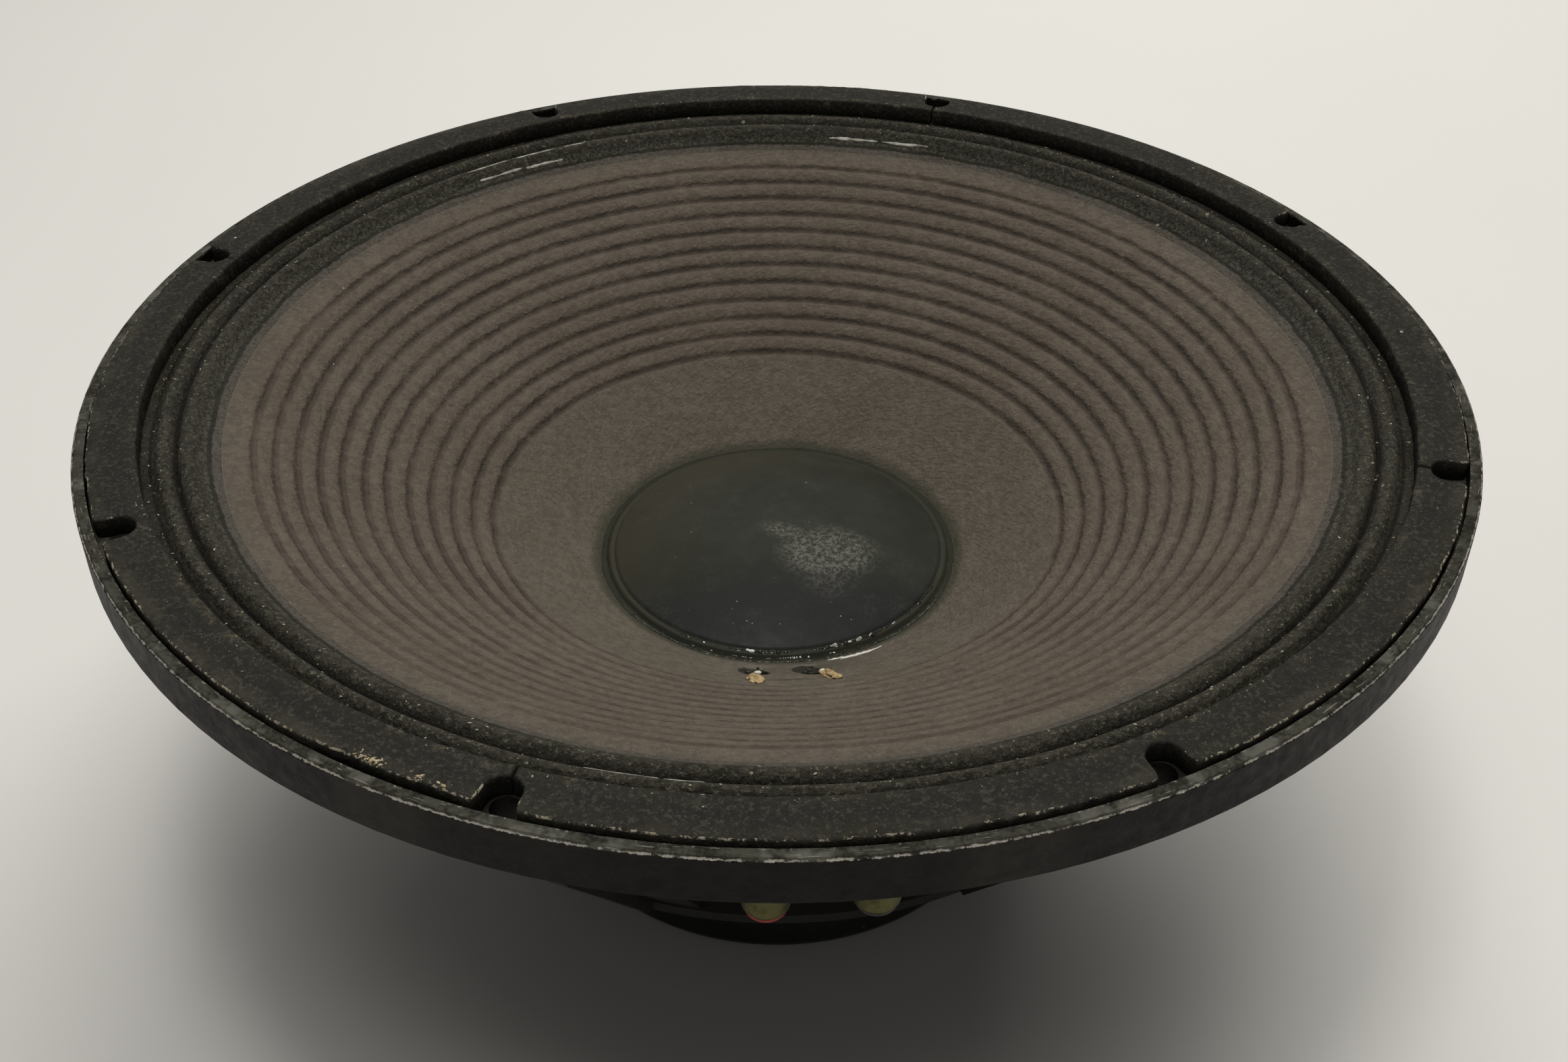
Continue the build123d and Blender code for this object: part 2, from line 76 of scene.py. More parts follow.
# ------------------------------------------------------------------ node materials
class Mat:
    """A Principled material with a few helpers. Positions are object coordinates in metres, which are the row frame's."""

    def __init__(self, name, rough=0.5, metallic=0.0, spec=0.5):
        self.m = bpy.data.materials.new(name)
        self.m.use_nodes = True
        self.t = self.m.node_tree
        self.t.nodes.clear()
        out = self.t.nodes.new("ShaderNodeOutputMaterial")
        self.b = self.t.nodes.new("ShaderNodeBsdfPrincipled")
        self.t.links.new(self.b.outputs[0], out.inputs[0])
        self.b.inputs["Roughness"].default_value = rough
        self.b.inputs["Metallic"].default_value = metallic
        self.b.inputs["Specular IOR Level"].default_value = spec
        tc = self.t.nodes.new("ShaderNodeTexCoord")
        self.p = tc.outputs["Object"]
        self._polar = None

    def put(self, socket, value):
        if isinstance(value, bpy.types.NodeSocket):
            self.t.links.new(value, socket)
        elif isinstance(value, (tuple, list)) and len(value) == 3 and socket.type == "RGBA":
            socket.default_value = (*value, 1.0)
        else:
            socket.default_value = value

    def math(self, op, a, b=None, c=None, clamp=False):
        n = self.t.nodes.new("ShaderNodeMath")
        n.operation, n.use_clamp = op, clamp
        for i, v in enumerate((a, b, c)):
            if v is not None:
                self.put(n.inputs[i], v)
        return n.outputs[0]

    def add(self, a, b): return self.math("ADD", a, b)
    def sub(self, a, b): return self.math("SUBTRACT", a, b)
    def mul(self, a, b): return self.math("MULTIPLY", a, b)

    def step(self, v, a, b, lo=0.0, hi=1.0):
        """Smooth ramp of v from a to b, giving lo to hi."""
        n = self.t.nodes.new("ShaderNodeMapRange")
        n.interpolation_type = "SMOOTHSTEP"
        for i, x in enumerate((v, a, b, lo, hi)):
            self.put(n.inputs[i], x)
        return n.outputs[0]

    def lin(self, v, a, b, lo=0.0, hi=1.0):
        n = self.t.nodes.new("ShaderNodeMapRange")
        n.interpolation_type = "LINEAR"
        for i, x in enumerate((v, a, b, lo, hi)):
            self.put(n.inputs[i], x)
        return n.outputs[0]

    def noise(self, scale, detail=3.0, rough=0.55, vec=None, dist=0.0, lac=2.0):
        n = self.t.nodes.new("ShaderNodeTexNoise")
        n.noise_dimensions = "3D"
        self.put(n.inputs["Vector"], vec or self.p)
        self.put(n.inputs["Scale"], scale)
        n.inputs["Detail"].default_value = detail
        n.inputs["Roughness"].default_value = rough
        n.inputs["Lacunarity"].default_value = lac
        n.inputs["Distortion"].default_value = dist
        return n.outputs["Fac"]

    def voronoi(self, scale, vec=None, feature="F1", rand=1.0):
        n = self.t.nodes.new("ShaderNodeTexVoronoi")
        n.feature = feature
        self.put(n.inputs["Vector"], vec or self.p)
        n.inputs["Scale"].default_value = scale
        n.inputs["Randomness"].default_value = rand
        return n.outputs["Distance"]

    def cell(self, scale, vec=None):
        n = self.t.nodes.new("ShaderNodeTexVoronoi")
        self.put(n.inputs["Vector"], vec or self.p)
        n.inputs["Scale"].default_value = scale
        return n.outputs["Color"], n.outputs["Distance"]

    def mix(self, f, a, b):
        n = self.t.nodes.new("ShaderNodeMix")
        n.data_type = "RGBA"
        self.put(n.inputs[0], f)
        self.put(n.inputs[6], a)
        self.put(n.inputs[7], b)
        return n.outputs[2]

    def fmix(self, f, a, b):
        n = self.t.nodes.new("ShaderNodeMix")
        n.data_type = "FLOAT"
        self.put(n.inputs[0], f)
        self.put(n.inputs[2], a)
        self.put(n.inputs[3], b)
        return n.outputs[0]

    def vec(self, x, y, z):
        n = self.t.nodes.new("ShaderNodeCombineXYZ")
        for i, v in enumerate((x, y, z)):
            self.put(n.inputs[i], v)
        return n.outputs[0]

    def polar(self):
        """x, y, z in mm, radius in mm, angle in radians."""
        if self._polar is None:
            s = self.t.nodes.new("ShaderNodeSeparateXYZ")
            self.t.links.new(self.p, s.inputs[0])
            x, y, z = (self.mul(s.outputs[i], 1000.0) for i in range(3))
            r = self.math("SQRT", self.add(self.mul(x, x), self.mul(y, y)))
            a = self.math("ARCTAN2", y, x)
            self._polar = (x, y, z, r, a)
        return self._polar

    def attr(self, name):
        n = self.t.nodes.new("ShaderNodeAttribute")
        n.attribute_name = name
        return n.outputs["Fac"]

    def spot(self, x0, y0, rx, ry=None, turn=0.0, soft=0.6):
        """1 inside an ellipse about (x0, y0) mm, fading to 0 outside."""
        x, y = self.polar()[:2]
        ry = ry or rx
        dx, dy = self.sub(x, x0), self.sub(y, y0)
        c, s = math.cos(turn), math.sin(turn)
        u = self.add(self.mul(dx, c / rx), self.mul(dy, s / rx))
        v = self.add(self.mul(dx, -s / ry), self.mul(dy, c / ry))
        d = self.math("SQRT", self.add(self.mul(u, u), self.mul(v, v)))
        return self.step(d, 1.0 - soft, 1.0 + soft, 1.0, 0.0)

    def specks(self, scale, size, share, vec=None):
        """Small round specks on a random share of cells."""
        col, dist = self.cell(scale, vec)
        s = self.t.nodes.new("ShaderNodeSeparateColor")
        self.t.links.new(col, s.inputs[0])
        chosen = self.math("LESS_THAN", s.outputs[0], share)
        rad = self.mul(s.outputs[1], size)
        return self.mul(chosen, self.math("LESS_THAN", dist, rad))

    def color(self, v): self.put(self.b.inputs["Base Color"], v)
    def rough(self, v): self.put(self.b.inputs["Roughness"], v)
    def metal(self, v): self.put(self.b.inputs["Metallic"], v)

    def bump(self, height, strength=0.5, distance=0.0005):
        n = self.t.nodes.new("ShaderNodeBump")
        n.inputs["Strength"].default_value = strength
        n.inputs["Distance"].default_value = distance
        self.t.links.new(height, n.inputs["Height"])
        if self.b.inputs["Normal"].links:
            old = self.b.inputs["Normal"].links[0].from_socket
            self.t.links.new(old, n.inputs["Normal"])
        self.t.links.new(n.outputs[0], self.b.inputs["Normal"])


def mat_paper():
    k = Mat("cone_paper", rough=0.9, spec=0.16)
    x, y, z, r, a = k.polar()
    blotch = k.noise(26, 3, 0.6)
    mid = k.noise(330, 4, 0.65)
    fibre = k.noise(760, 4, 0.72)
    fine = k.noise(1500, 3, 0.7)
    c = k.mix(k.step(blotch, 0.3, 0.7), (0.076, 0.0625, 0.0480), (0.090, 0.0745, 0.0585))
    # The inner cone is cooler and darker than the ribbed part, and stained towards the neck.
    inner = k.step(k.add(r, k.mul(blotch, 1.2)), 83.6, 86.2, 1.0, 0.0)
    c = k.mix(k.mul(inner, 0.75), c, k.mix(k.step(k.noise(60, 4, 0.6), 0.35, 0.65), (0.068, 0.0610, 0.0470), (0.083, 0.0715, 0.0570)))
    rim = k.step(k.add(r, k.mul(k.sub(k.noise(90, 4, 0.65), 0.5), 7.0)), 150.5, 158.0)
    c = k.mix(k.mul(rim, 0.55), c, (0.058, 0.053, 0.043))
    # Felted fibres, light over dark.
    c = k.mix(k.mul(k.step(mid, 0.40, 0.60, 1.0, 0.0), 0.42), c, (0.042, 0.034, 0.026))
    c = k.mix(k.mul(k.step(fibre, 0.50, 0.66), 0.46), c, (0.118, 0.100, 0.078))
    c = k.mix(k.mul(k.step(fine, 0.54, 0.70), 0.38), c, (0.138, 0.119, 0.095))
    # Narrow dark grooves with ragged edges, darkened partly by dirt and partly by painted shade: the phase counts ribs
    # outwards.
    ph = k.add(k.attr("phase"), k.add(k.mul(k.sub(k.noise(140, 4, 0.7), 0.5), 0.30), k.mul(k.sub(fibre, 0.5), 0.22)))
    fr = k.math("ABSOLUTE", k.sub(k.math("FRACT", k.add(ph, 0.5)), 0.5))
    on = k.mul(k.step(ph, -0.45, -0.35), k.step(ph, 11.35, 11.45, 1.0, 0.0))
    # Some stretches of groove are fainter than others.
    fade = k.mul(k.step(k.noise(34, 3, 0.6), 0.30, 0.62, 0.50, 1.0), k.step(k.noise(190, 4, 0.7), 0.36, 0.52, 0.55, 1.0))
    # Painted shade: the groove darkening is painted weaker towards the front.
    fade = k.mul(fade, k.step(y, -40.0, -110.0, 1.0, 0.72))
    # Painted shade and dirt in each groove: a dark core and a wider soft side.
    groove_dirt_shade_core = k.mul(k.mul(k.step(fr, 0.05, 0.24, 1.0, 0.0), on), fade)
    side = k.mul(k.mul(k.step(fr, 0.12, 0.40, 1.0, 0.0), on), fade)
    c = k.mix(k.mul(side, 0.34), c, (0.042, 0.034, 0.028))
    c = k.mix(k.mul(groove_dirt_shade_core, 0.50), c, (0.0230, 0.0180, 0.0150))
    # Halo where the cap's adhesive has soaked in.
    wob = k.noise(60, 3, 0.6)
    hr = k.add(r, k.mul(k.sub(wob, 0.5), 2.2))
    h = k.step(hr, 55.2, 58.6, 1.0, 0.0)
    c = k.mix(k.mul(h, 0.80), c, (0.030, 0.030, 0.020))
    h2 = k.step(hr, 53.6, 55.0, 1.0, 0.0)
    c = k.mix(k.mul(h2, 0.75), c, (0.017, 0.0175, 0.011))
    stain = k.spot(6, -63, 15, 7, 0.1, 0.8)
    c = k.mix(k.mul(stain, 0.35), c, (0.036, 0.032, 0.024))
    # Painted shade darkens the hollows where the leads come through, and a painted shade line marks a crease between
    # them.
    rag = k.mul(k.sub(k.noise(420, 3, 0.6), 0.5), 0.7)
    hollow_shade = k.math("MAXIMUM", k.spot(-11.5, -66.4, 4.6, 4.6, 0.0, 0.25), k.spot(3.4, -66.0, 4.6, 4.4, 0.35, 0.25))
    hollow_shade = k.step(k.add(hollow_shade, rag), 0.25, 0.75)
    c = k.mix(k.mul(hollow_shade, 0.88), c, (0.0150, 0.0140, 0.0100))
    # Painted highlight: a lighter arc on the raised far lip of each hollow.
    hollow_lip_highlight = k.math("MAXIMUM", k.spot(-10.9, -60.6, 4.6, 1.6, 0.0, 0.5), k.spot(3.0, -60.2, 4.8, 1.6, 0.0, 0.5))
    c = k.mix(k.mul(k.mul(hollow_lip_highlight, k.sub(1.0, hollow_shade)), 0.45), c, (0.110, 0.104, 0.088))
    # Painted shade along the crease.
    crease_shade = k.spot(-2.4, -77.6, 6.2, 0.75, 0.0, 0.5)
    c = k.mix(k.mul(crease_shade, 0.62), c, (0.022, 0.019, 0.015))
    # Small dark marks and pale dust.
    mark = k.specks(150, 0.16, 0.05)
    c = k.mix(k.mul(mark, 0.45), c, (0.025, 0.021, 0.017))
    dust = k.specks(210, 0.085, 0.05)
    c = k.mix(k.mul(dust, 0.8), c, (0.30, 0.28, 0.24))
    k.color(c)
    k.rough(k.fmix(k.math("MAXIMUM", k.mul(h, 0.6), k.mul(hollow_shade, 0.9)), k.lin(mid, 0.3, 0.7, 0.84, 0.96), 0.40))
    # Felt marks run slantwise round the inner cone.
    u = k.add(k.mul(r, 0.9), k.mul(a, 34.0))
    v = k.sub(k.mul(r, 0.9), k.mul(a, 34.0))
    felt = k.noise(1.0, 2, 0.6, k.vec(k.mul(u, 0.9), k.mul(v, 0.22), 0.0))
    hgt = k.add(k.add(k.mul(mid, 1.1), k.mul(fibre, 1.2)), k.add(k.mul(felt, 0.8), k.mul(groove_dirt_shade_core, -0.9)))
    k.bump(hgt, 0.9, 0.0006)
    return k.m


def mat_paper_back():
    k = Mat("cone_paper_back", rough=0.93, spec=0.2)
    mid = k.noise(300, 4, 0.65)
    fine = k.noise(1200, 3, 0.7)
    c = k.mix(k.step(k.noise(30), 0.3, 0.7), (0.085, 0.073, 0.060), (0.115, 0.100, 0.083))
    c = k.mix(k.mul(k.step(fine, 0.5, 0.75), 0.3), c, (0.17, 0.15, 0.125))
    k.color(c)
    k.bump(k.add(mid, fine), 0.6, 0.0004)
    return k.m


def mat_surround():
    k = Mat("surround_cloth", rough=0.6, spec=0.45)
    x, y, z, r, a = k.polar()
    blotch = k.noise(45, 3, 0.6)
    grain = k.noise(900, 4, 0.75)
    mid = k.noise(420, 3, 0.6)
    crest = k.attr("crest")
    c = k.mix(k.step(blotch, 0.3, 0.7), (0.0135, 0.0125, 0.0075), (0.024, 0.022, 0.0145))
    # Lighter patches on the crests, and painted shade darkening the creases.
    c = k.mix(k.mul(k.mul(crest, k.step(mid, 0.36, 0.62)), 0.62), c, (0.047, 0.043, 0.030))
    c = k.mix(k.mul(k.step(grain, 0.53, 0.68), k.add(0.40, k.mul(crest, 0.42))), c, (0.130, 0.120, 0.090))
    c = k.mix(k.mul(k.step(k.noise(620, 3, 0.7), 0.50, 0.38), 0.55), c, (0.0065, 0.0062, 0.0042))
    c = k.mix(k.mul(k.step(k.attr("crease_shade"), 0.25, 0.9), 0.86), c, (0.0045, 0.0040, 0.0026))
    # The inner band is thinly coated, so the paper's colour shows through it in patches.
    rag = k.add(k.mul(k.sub(k.noise(70, 3, 0.6), 0.5), 1.6), k.mul(k.sub(mid, 0.5), 1.2))
    edge_r = k.add(r, rag)
    band = k.step(edge_r, 163.6, 162.0)
    c = k.mix(k.mul(band, 0.85), c, k.mix(k.step(grain, 0.42, 0.60), (0.0200, 0.0195, 0.0135), (0.070, 0.065, 0.049)))
    line = k.mul(k.step(edge_r, 159.2, 159.5), k.step(edge_r, 160.9, 160.3))
    c = k.mix(k.mul(line, 0.80), c, (0.0105, 0.0105, 0.0070))
    inner = k.step(edge_r, 159.6, 159.1)
    c = k.mix(k.mul(inner, 0.95), c, k.mix(k.step(grain, 0.40, 0.60), (0.050, 0.044, 0.035), (0.078, 0.068, 0.054)))
    # Lint: short pale curls and dots.
    warp = k.vec(k.add(x, k.mul(k.sub(mid, 0.5), 5.0)), k.add(y, k.mul(k.sub(k.noise(380, 2, 0.5), 0.5), 5.0)), z)
    curl = k.mul(k.step(k.math("ABSOLUTE", k.sub(k.noise(0.42, 2, 0.5, warp), 0.5)), 0.004, 0.013, 1.0, 0.0), k.step(k.noise(230, 2, 0.5), 0.58, 0.63))
    c = k.mix(k.mul(curl, 0.55), c, (0.21, 0.195, 0.15))
    lint = k.specks(330, 0.22, 0.05)
    c = k.mix(k.mul(lint, 0.7), c, (0.27, 0.25, 0.19))
    k.color(c)
    wet = k.mul(k.step(k.noise(30, 2, 0.5), 0.47, 0.60), k.step(crest, 0.75, 0.35))
    k.rough(k.fmix(k.math("MAXIMUM", wet, 0.0), k.lin(grain, 0.3, 0.7, 0.50, 0.80), 0.17))
    h = k.add(k.mul(grain, 1.1), k.add(k.mul(mid, 1.1), k.mul(curl, 0.5)))
    k.bump(h, 1.0, 0.0012)
    return k.m


def mat_cap():
    k = Mat("cap_doped", rough=0.5, spec=0.22)
    x, y, z, r, a = k.polar()
    blotch = k.noise(22, 3, 0.6)
    fine = k.noise(1600, 3, 0.7)
    mid = k.noise(240, 4, 0.6)
    c = k.mix(k.step(blotch, 0.3, 0.7), (0.0125, 0.0135, 0.0100), (0.0170, 0.0180, 0.0135))
    # Painted reflection: a lighter brown cast towards the left and back edge; painted shade: a cooler, darker front.
    warm_reflection = k.mul(k.step(k.sub(k.mul(y, 0.8), x), -12.0, 58.0), k.step(r, 6.0, 46.0))
    c = k.mix(k.mul(warm_reflection, 0.60), c, (0.031, 0.0275, 0.0175))
    # Painted shade across the front.
    front = k.mul(k.step(k.add(y, k.mul(k.sub(blotch, 0.5), 14.0)), -16.0, -34.0), 0.8)
    c = k.mix(front, c, (0.0115, 0.0115, 0.0118))
    c = k.mix(k.mul(k.step(fine, 0.55, 0.75), 0.18), c, (0.045, 0.045, 0.036))
    cloud = k.mul(k.step(k.noise(75, 5, 0.7), 0.46, 0.66), k.step(fine, 0.40, 0.62))
    c = k.mix(k.mul(cloud, 0.22), c, (0.050, 0.051, 0.043))
    # Dusty rub mark right of centre, broken up by fine flecks and scratches.
    n1 = k.noise(760, 4, 0.78)
    scr = k.noise(1.0, 3, 0.65, k.vec(k.mul(x, 0.7), k.mul(y, 2.4), 0.0))
    scr2 = k.noise(1.0, 3, 0.65, k.vec(k.mul(x, 2.0), k.mul(y, 0.8), 3.0))
    body = k.math("MAXIMUM", k.spot(13.5, -16.5, 12.5, 9.0, 0.0, 0.45), k.mul(k.spot(13.0, -23.5, 7.0, 8.0, 0.2, 0.8), 0.42))
    tail = k.math("MAXIMUM", k.mul(k.spot(2.5, -7.5, 7.0, 3.0, -0.5, 0.7), 0.8), k.mul(k.spot(20.0, -10.0, 9.0, 4.0, -0.4, 0.8), 0.6))
    rub = k.math("MAXIMUM", body, tail)
    flecks = k.add(k.mul(k.step(n1, 0.48, 0.56), 0.95), k.mul(k.add(k.step(scr, 0.50, 0.62), k.step(scr2, 0.52, 0.64)), 0.45))
    rub = k.math("MULTIPLY", rub, flecks, clamp=True)
    c = k.mix(k.mul(rub, 0.62), c, (0.122, 0.119, 0.100))
    dust = k.specks(190, 0.10, 0.10)
    c = k.mix(k.mul(dust, k.step(y, -10.0, -40.0, 0.25, 0.75)), c, (0.26, 0.27, 0.23))
    # The glued flange round the dome.
    rim = k.step(k.add(r, k.mul(k.sub(mid, 0.5), 0.8)), 50.3, 50.9)
    c = k.mix(k.mul(rim, 0.75), c, (0.0185, 0.0190, 0.0120))
    k.color(c)
    k.rough(k.fmix(rub, k.lin(mid, 0.3, 0.7, 0.42, 0.58), 0.85))
    k.bump(k.add(k.mul(fine, 0.6), mid), 0.30, 0.00025)
    return k.m


def mat_bead():
    k = Mat("adhesive_black", rough=0.2, spec=0.45)
    x, y, z, r, a = k.polar()
    n = k.noise(160, 3, 0.6)
    k.color(k.mix(n, (0.0065, 0.0070, 0.0042), (0.0150, 0.0155, 0.0095)))
    # Wet along the front, dusty and dull elsewhere.
    wet = k.step(k.add(y, k.mul(k.sub(k.noise(60), 0.5), 26.0)), -22.0, -38.0)
    k.rough(k.fmix(wet, 0.62, k.step(n, 0.3, 0.7, 0.04, 0.16)))
    k.bump(k.noise(300, 2, 0.5), 0.9, 0.0010)
    return k.m


def mat_smear_and_glint():
    # Pale adhesive, also used for painted glints.
    k = Mat("adhesive_clear_and_glint", rough=0.08, spec=0.7)
    n = k.noise(300, 3, 0.6)
    k.color(k.mix(n, (0.30, 0.29, 0.25), (0.62, 0.60, 0.54)))
    k.rough(k.step(n, 0.35, 0.7, 0.08, 0.3))
    k.bump(n, 0.3, 0.0004)
    return k.m


def mat_tan():
    k = Mat("adhesive_tan", rough=0.38, spec=0.5)
    n = k.noise(420, 4, 0.6)
    k.color(k.mix(k.step(n, 0.3, 0.7), (0.36, 0.265, 0.135), (0.165, 0.112, 0.055)))
    k.rough(k.step(n, 0.3, 0.7, 0.3, 0.6))
    k.bump(n, 0.4, 0.0004)
    return k.m


def mat_gasket():
    k = Mat("gasket_foam", rough=0.88, spec=0.2)
    x, y, z, r, a = k.polar()
    blotch = k.noise(24, 4, 0.6)
    mid = k.noise(420, 4, 0.65)
    fine = k.noise(1200, 3, 0.7)
    pore = k.noise(800, 3, 0.7)
    c = k.mix(k.step(blotch, 0.35, 0.65), (0.0195, 0.0180, 0.0128), (0.0150, 0.0148, 0.0122))
    cool = k.step(k.add(k.math("ABSOLUTE", k.sub(r, 183.5)), k.mul(k.sub(blotch, 0.5), 16.0)), 3.5, 1.0)
    c = k.mix(k.mul(cool, 0.50), c, (0.0125, 0.0130, 0.0122))
    c = k.mix(k.mul(k.step(mid, 0.38, 0.60, 1.0, 0.0), 0.45), c, (0.0070, 0.0068, 0.0062))
    c = k.mix(k.mul(k.step(pore, 0.52, 0.64), 0.55), c, (0.045, 0.042, 0.032))
    c = k.mix(k.mul(k.step(fine, 0.58, 0.72), 0.40), c, (0.082, 0.077, 0.060))
    # A grazed band along the outer edge, browner than the rest.
    graze = k.mul(k.step(r, 185.5, 188.5), k.step(k.noise(70, 4, 0.65), 0.42, 0.62))
    c = k.mix(k.mul(graze, 0.4), c, (0.038, 0.035, 0.027))
    # Pale flakes along the edges: a thin broken line outside, a few specks inside.
    e = k.attr("edge")
    big = k.noise(55, 3, 0.6)
    flake = k.noise(640, 4, 0.75)
    outer = k.step(r, 184.0, 186.0)
    need = k.fmix(outer, 0.80, k.lin(big, 0.3, 0.7, 0.60, 0.47))
    worn = k.mul(k.step(e, 0.55, 0.9), k.math("GREATER_THAN", flake, need))
    tone = k.mix(k.noise(90), (0.17, 0.14, 0.095), (0.30, 0.275, 0.22))
    c = k.mix(k.mul(worn, 0.8), c, tone)
    rust = k.mul(k.mul(k.step(r, 181.5, 178.2), k.step(k.noise(130, 4, 0.7), 0.52, 0.62)), k.step(flake, 0.48, 0.58))
    c = k.mix(k.mul(rust, 0.5), c, (0.085, 0.072, 0.050))
    lint = k.specks(240, 0.16, 0.05)
    c = k.mix(k.mul(lint, 0.75), c, (0.28, 0.26, 0.205))
    lint2 = k.specks(90, 0.055, 0.12)
    c = k.mix(k.mul(lint2, 0.7), c, (0.36, 0.33, 0.27))
    k.color(c)
    k.rough(k.lin(mid, 0.3, 0.7, 0.74, 0.95))
    k.bump(k.add(k.add(mid, k.mul(pore, 0.9)), k.mul(worn, 0.6)), 0.8, 0.0005)
    return k.m


def mat_frame():
    """Black paint over a casting. The lip is scuffed grey, and chipped to metal along its outer edge."""
    k = Mat("frame_paint", rough=0.6, spec=0.17)
    x, y, z, r, a = k.polar()
    blotch = k.noise(30, 3, 0.6)
    mid = k.noise(260, 4, 0.65)
    fine = k.noise(900, 4, 0.7)
    c = k.mix(k.step(blotch, 0.35, 0.7), (0.0040, 0.0032, 0.0018), (0.0066, 0.0054, 0.0034))
    # Under the flange the spokes and landing are painted lighter, nearer a black casting's own colour; the flange
    # above is kept darker as painted shade.
    c = k.mix(k.step(z, FZ - 14.2, FZ - 16.5), c, k.mix(k.step(blotch, 0.35, 0.7), (0.0125, 0.0120, 0.0105), (0.0200, 0.0192, 0.0168)))
    top = k.step(z, FZ - 0.9, FZ - 0.25)
    lip = k.mul(top, k.step(r, 190.6, 191.0))
    grey = k.mix(k.step(k.add(k.mul(k.noise(120, 4, 0.65), 0.6), k.mul(fine, 0.4)), 0.40, 0.58), (0.0115, 0.0112, 0.0082), (0.040, 0.039, 0.030))
    c = k.mix(k.mul(lip, 0.9), c, grey)
    c = k.mix(k.mul(k.mul(lip, k.step(k.noise(48, 4, 0.7), 0.52, 0.62)), 0.65), c, (0.080, 0.078, 0.065))
    # The seat shows grey metal with old adhesive round each hole.
    seat = k.mul(k.step(z, FZ - 4.23, FZ - 4.21), k.mul(k.step(z, FZ - 3.7, FZ - 4.0), k.mul(k.step(r, 177.0, 178.0), k.step(r, 191.0, 190.8))))
    c = k.mix(k.mul(seat, 0.8), c, (0.0085, 0.0078, 0.0055))
    c = k.mix(k.mul(k.mul(seat, k.step(r, 187.2, 188.6)), k.step(mid, 0.36, 0.60, 0.3, 0.9)), c, (0.042, 0.040, 0.031))
    # Scuffs on the flange's side.
    side = k.mul(k.step(r, 193.4, 194.0), k.step(z, FZ - 14.5, FZ - 12.0))
    rubs = k.math("MAXIMUM", k.spot(-98, -168, 11, 15, 0.0, 0.4), k.spot(36, -191, 12, 9, 0.0, 0.5))
    rubs = k.math("MAXIMUM", rubs, k.mul(k.step(k.noise(18, 2, 0.5), 0.60, 0.72), 0.35))
    rubs = k.mul(k.mul(rubs, side), k.step(mid, 0.30, 0.62))
    c = k.mix(k.mul(rubs, 0.6), c, (0.040, 0.034, 0.028))
    nick = k.mul(k.specks(120, 0.09, 0.10), side)
    c = k.mix(k.mul(nick, 0.8), c, (0.14, 0.12, 0.10))
    # Bare metal along the outer edge in a thin broken line, and flecks along the lip's inner edge.
    wob = k.mul(k.sub(k.noise(420, 4, 0.7), 0.5), 1.3)
    edge = k.mul(k.step(k.add(r, wob), 193.92, 194.10), k.step(k.add(z, k.mul(k.sub(fine, 0.5), 0.9)), FZ - 0.70, FZ - 0.50))
    chip = k.math("MULTIPLY", edge, k.step(k.add(k.noise(210, 4, 0.7), k.mul(blotch, 0.35)), 0.56, 0.66), clamp=True)
    inner = k.mul(k.mul(lip, k.step(r, 191.8, 191.45)), k.step(fine, 0.57, 0.66))
    scr = k.mul(k.mul(lip, k.step(k.noise(1.0, 2, 0.5, k.vec(k.mul(r, 2.2), k.mul(a, 30.0), 0.0)), 0.64, 0.70)), 0.5)
    bare = k.math("MAXIMUM", k.math("MAXIMUM", chip, k.mul(inner, 0.35)), k.mul(scr, 0.6))
    c = k.mix(bare, c, k.mix(fine, (0.16, 0.150, 0.125), (0.50, 0.47, 0.41)))
    k.color(c)
    k.metal(k.mul(chip, 0.4))
    k.rough(k.fmix(bare, k.fmix(lip, k.lin(mid, 0.3, 0.7, 0.46, 0.66), 0.78), 0.45))
    k.bump(k.add(k.mul(mid, 0.8), k.add(k.mul(fine, 0.35), k.mul(bare, -0.6))), 0.5, 0.0005)
    return k.m


def mat_black_paint(name, rough=0.4):
    k = Mat(name, rough=rough, spec=0.5)
    mid = k.noise(300, 3, 0.6)
    peel = k.noise(700, 2, 0.5)
    c = k.mix(k.step(k.noise(28), 0.3, 0.7), (0.0060, 0.0058, 0.0052), (0.0105, 0.0100, 0.0088))
    c = k.mix(k.mul(k.specks(140, 0.10, 0.08), 0.6), c, (0.12, 0.115, 0.10))
    scuff = k.mul(k.step(k.noise(20, 2, 0.5), 0.52, 0.72), k.step(mid, 0.30, 0.70))
    c = k.mix(k.mul(scuff, 0.16), c, (0.05, 0.049, 0.046))
    k.color(c)
    k.rough(k.lin(mid, 0.3, 0.7, rough - 0.08, rough + 0.12))
    k.bump(k.add(mid, peel), 0.3, 0.0004)
    return k.m


def mat_metal(name, a, b, rough=0.28, turned=False, tarnish=0.3, scale=500):
    k = Mat(name, rough=rough, metallic=1.0)
    n = k.noise(scale, 4, 0.65)
    c = k.mix(n, a, b)
    t = k.step(k.noise(scale * 0.6, 3, 0.6), 0.52, 0.72)
    c = k.mix(k.mul(t, tarnish), c, tuple(v * 0.35 for v in a))
    k.color(c)
    k.rough(k.lin(n, 0.3, 0.7, rough - 0.07, rough + 0.14))
    if turned:
        x, y, z, r, ang = k.polar()
        rings = k.noise(1.0, 2, 0.5, k.vec(k.mul(r, 9.0), k.mul(z, 9.0), 0.0))
        k.bump(rings, 0.25, 0.0002)
    else:
        k.bump(n, 0.12, 0.0002)
    return k.m


def mat_plain(name, a, b, rough, scale=400, bump=0.3, spec=0.5):
    k = Mat(name, rough=rough, spec=spec)
    n = k.noise(scale, 4, 0.65)
    k.color(k.mix(k.step(n, 0.3, 0.7), a, b))
    k.rough(k.lin(n, 0.3, 0.7, max(0.05, rough - 0.08), rough + 0.1))
    k.bump(n, bump, 0.0003)
    return k.m


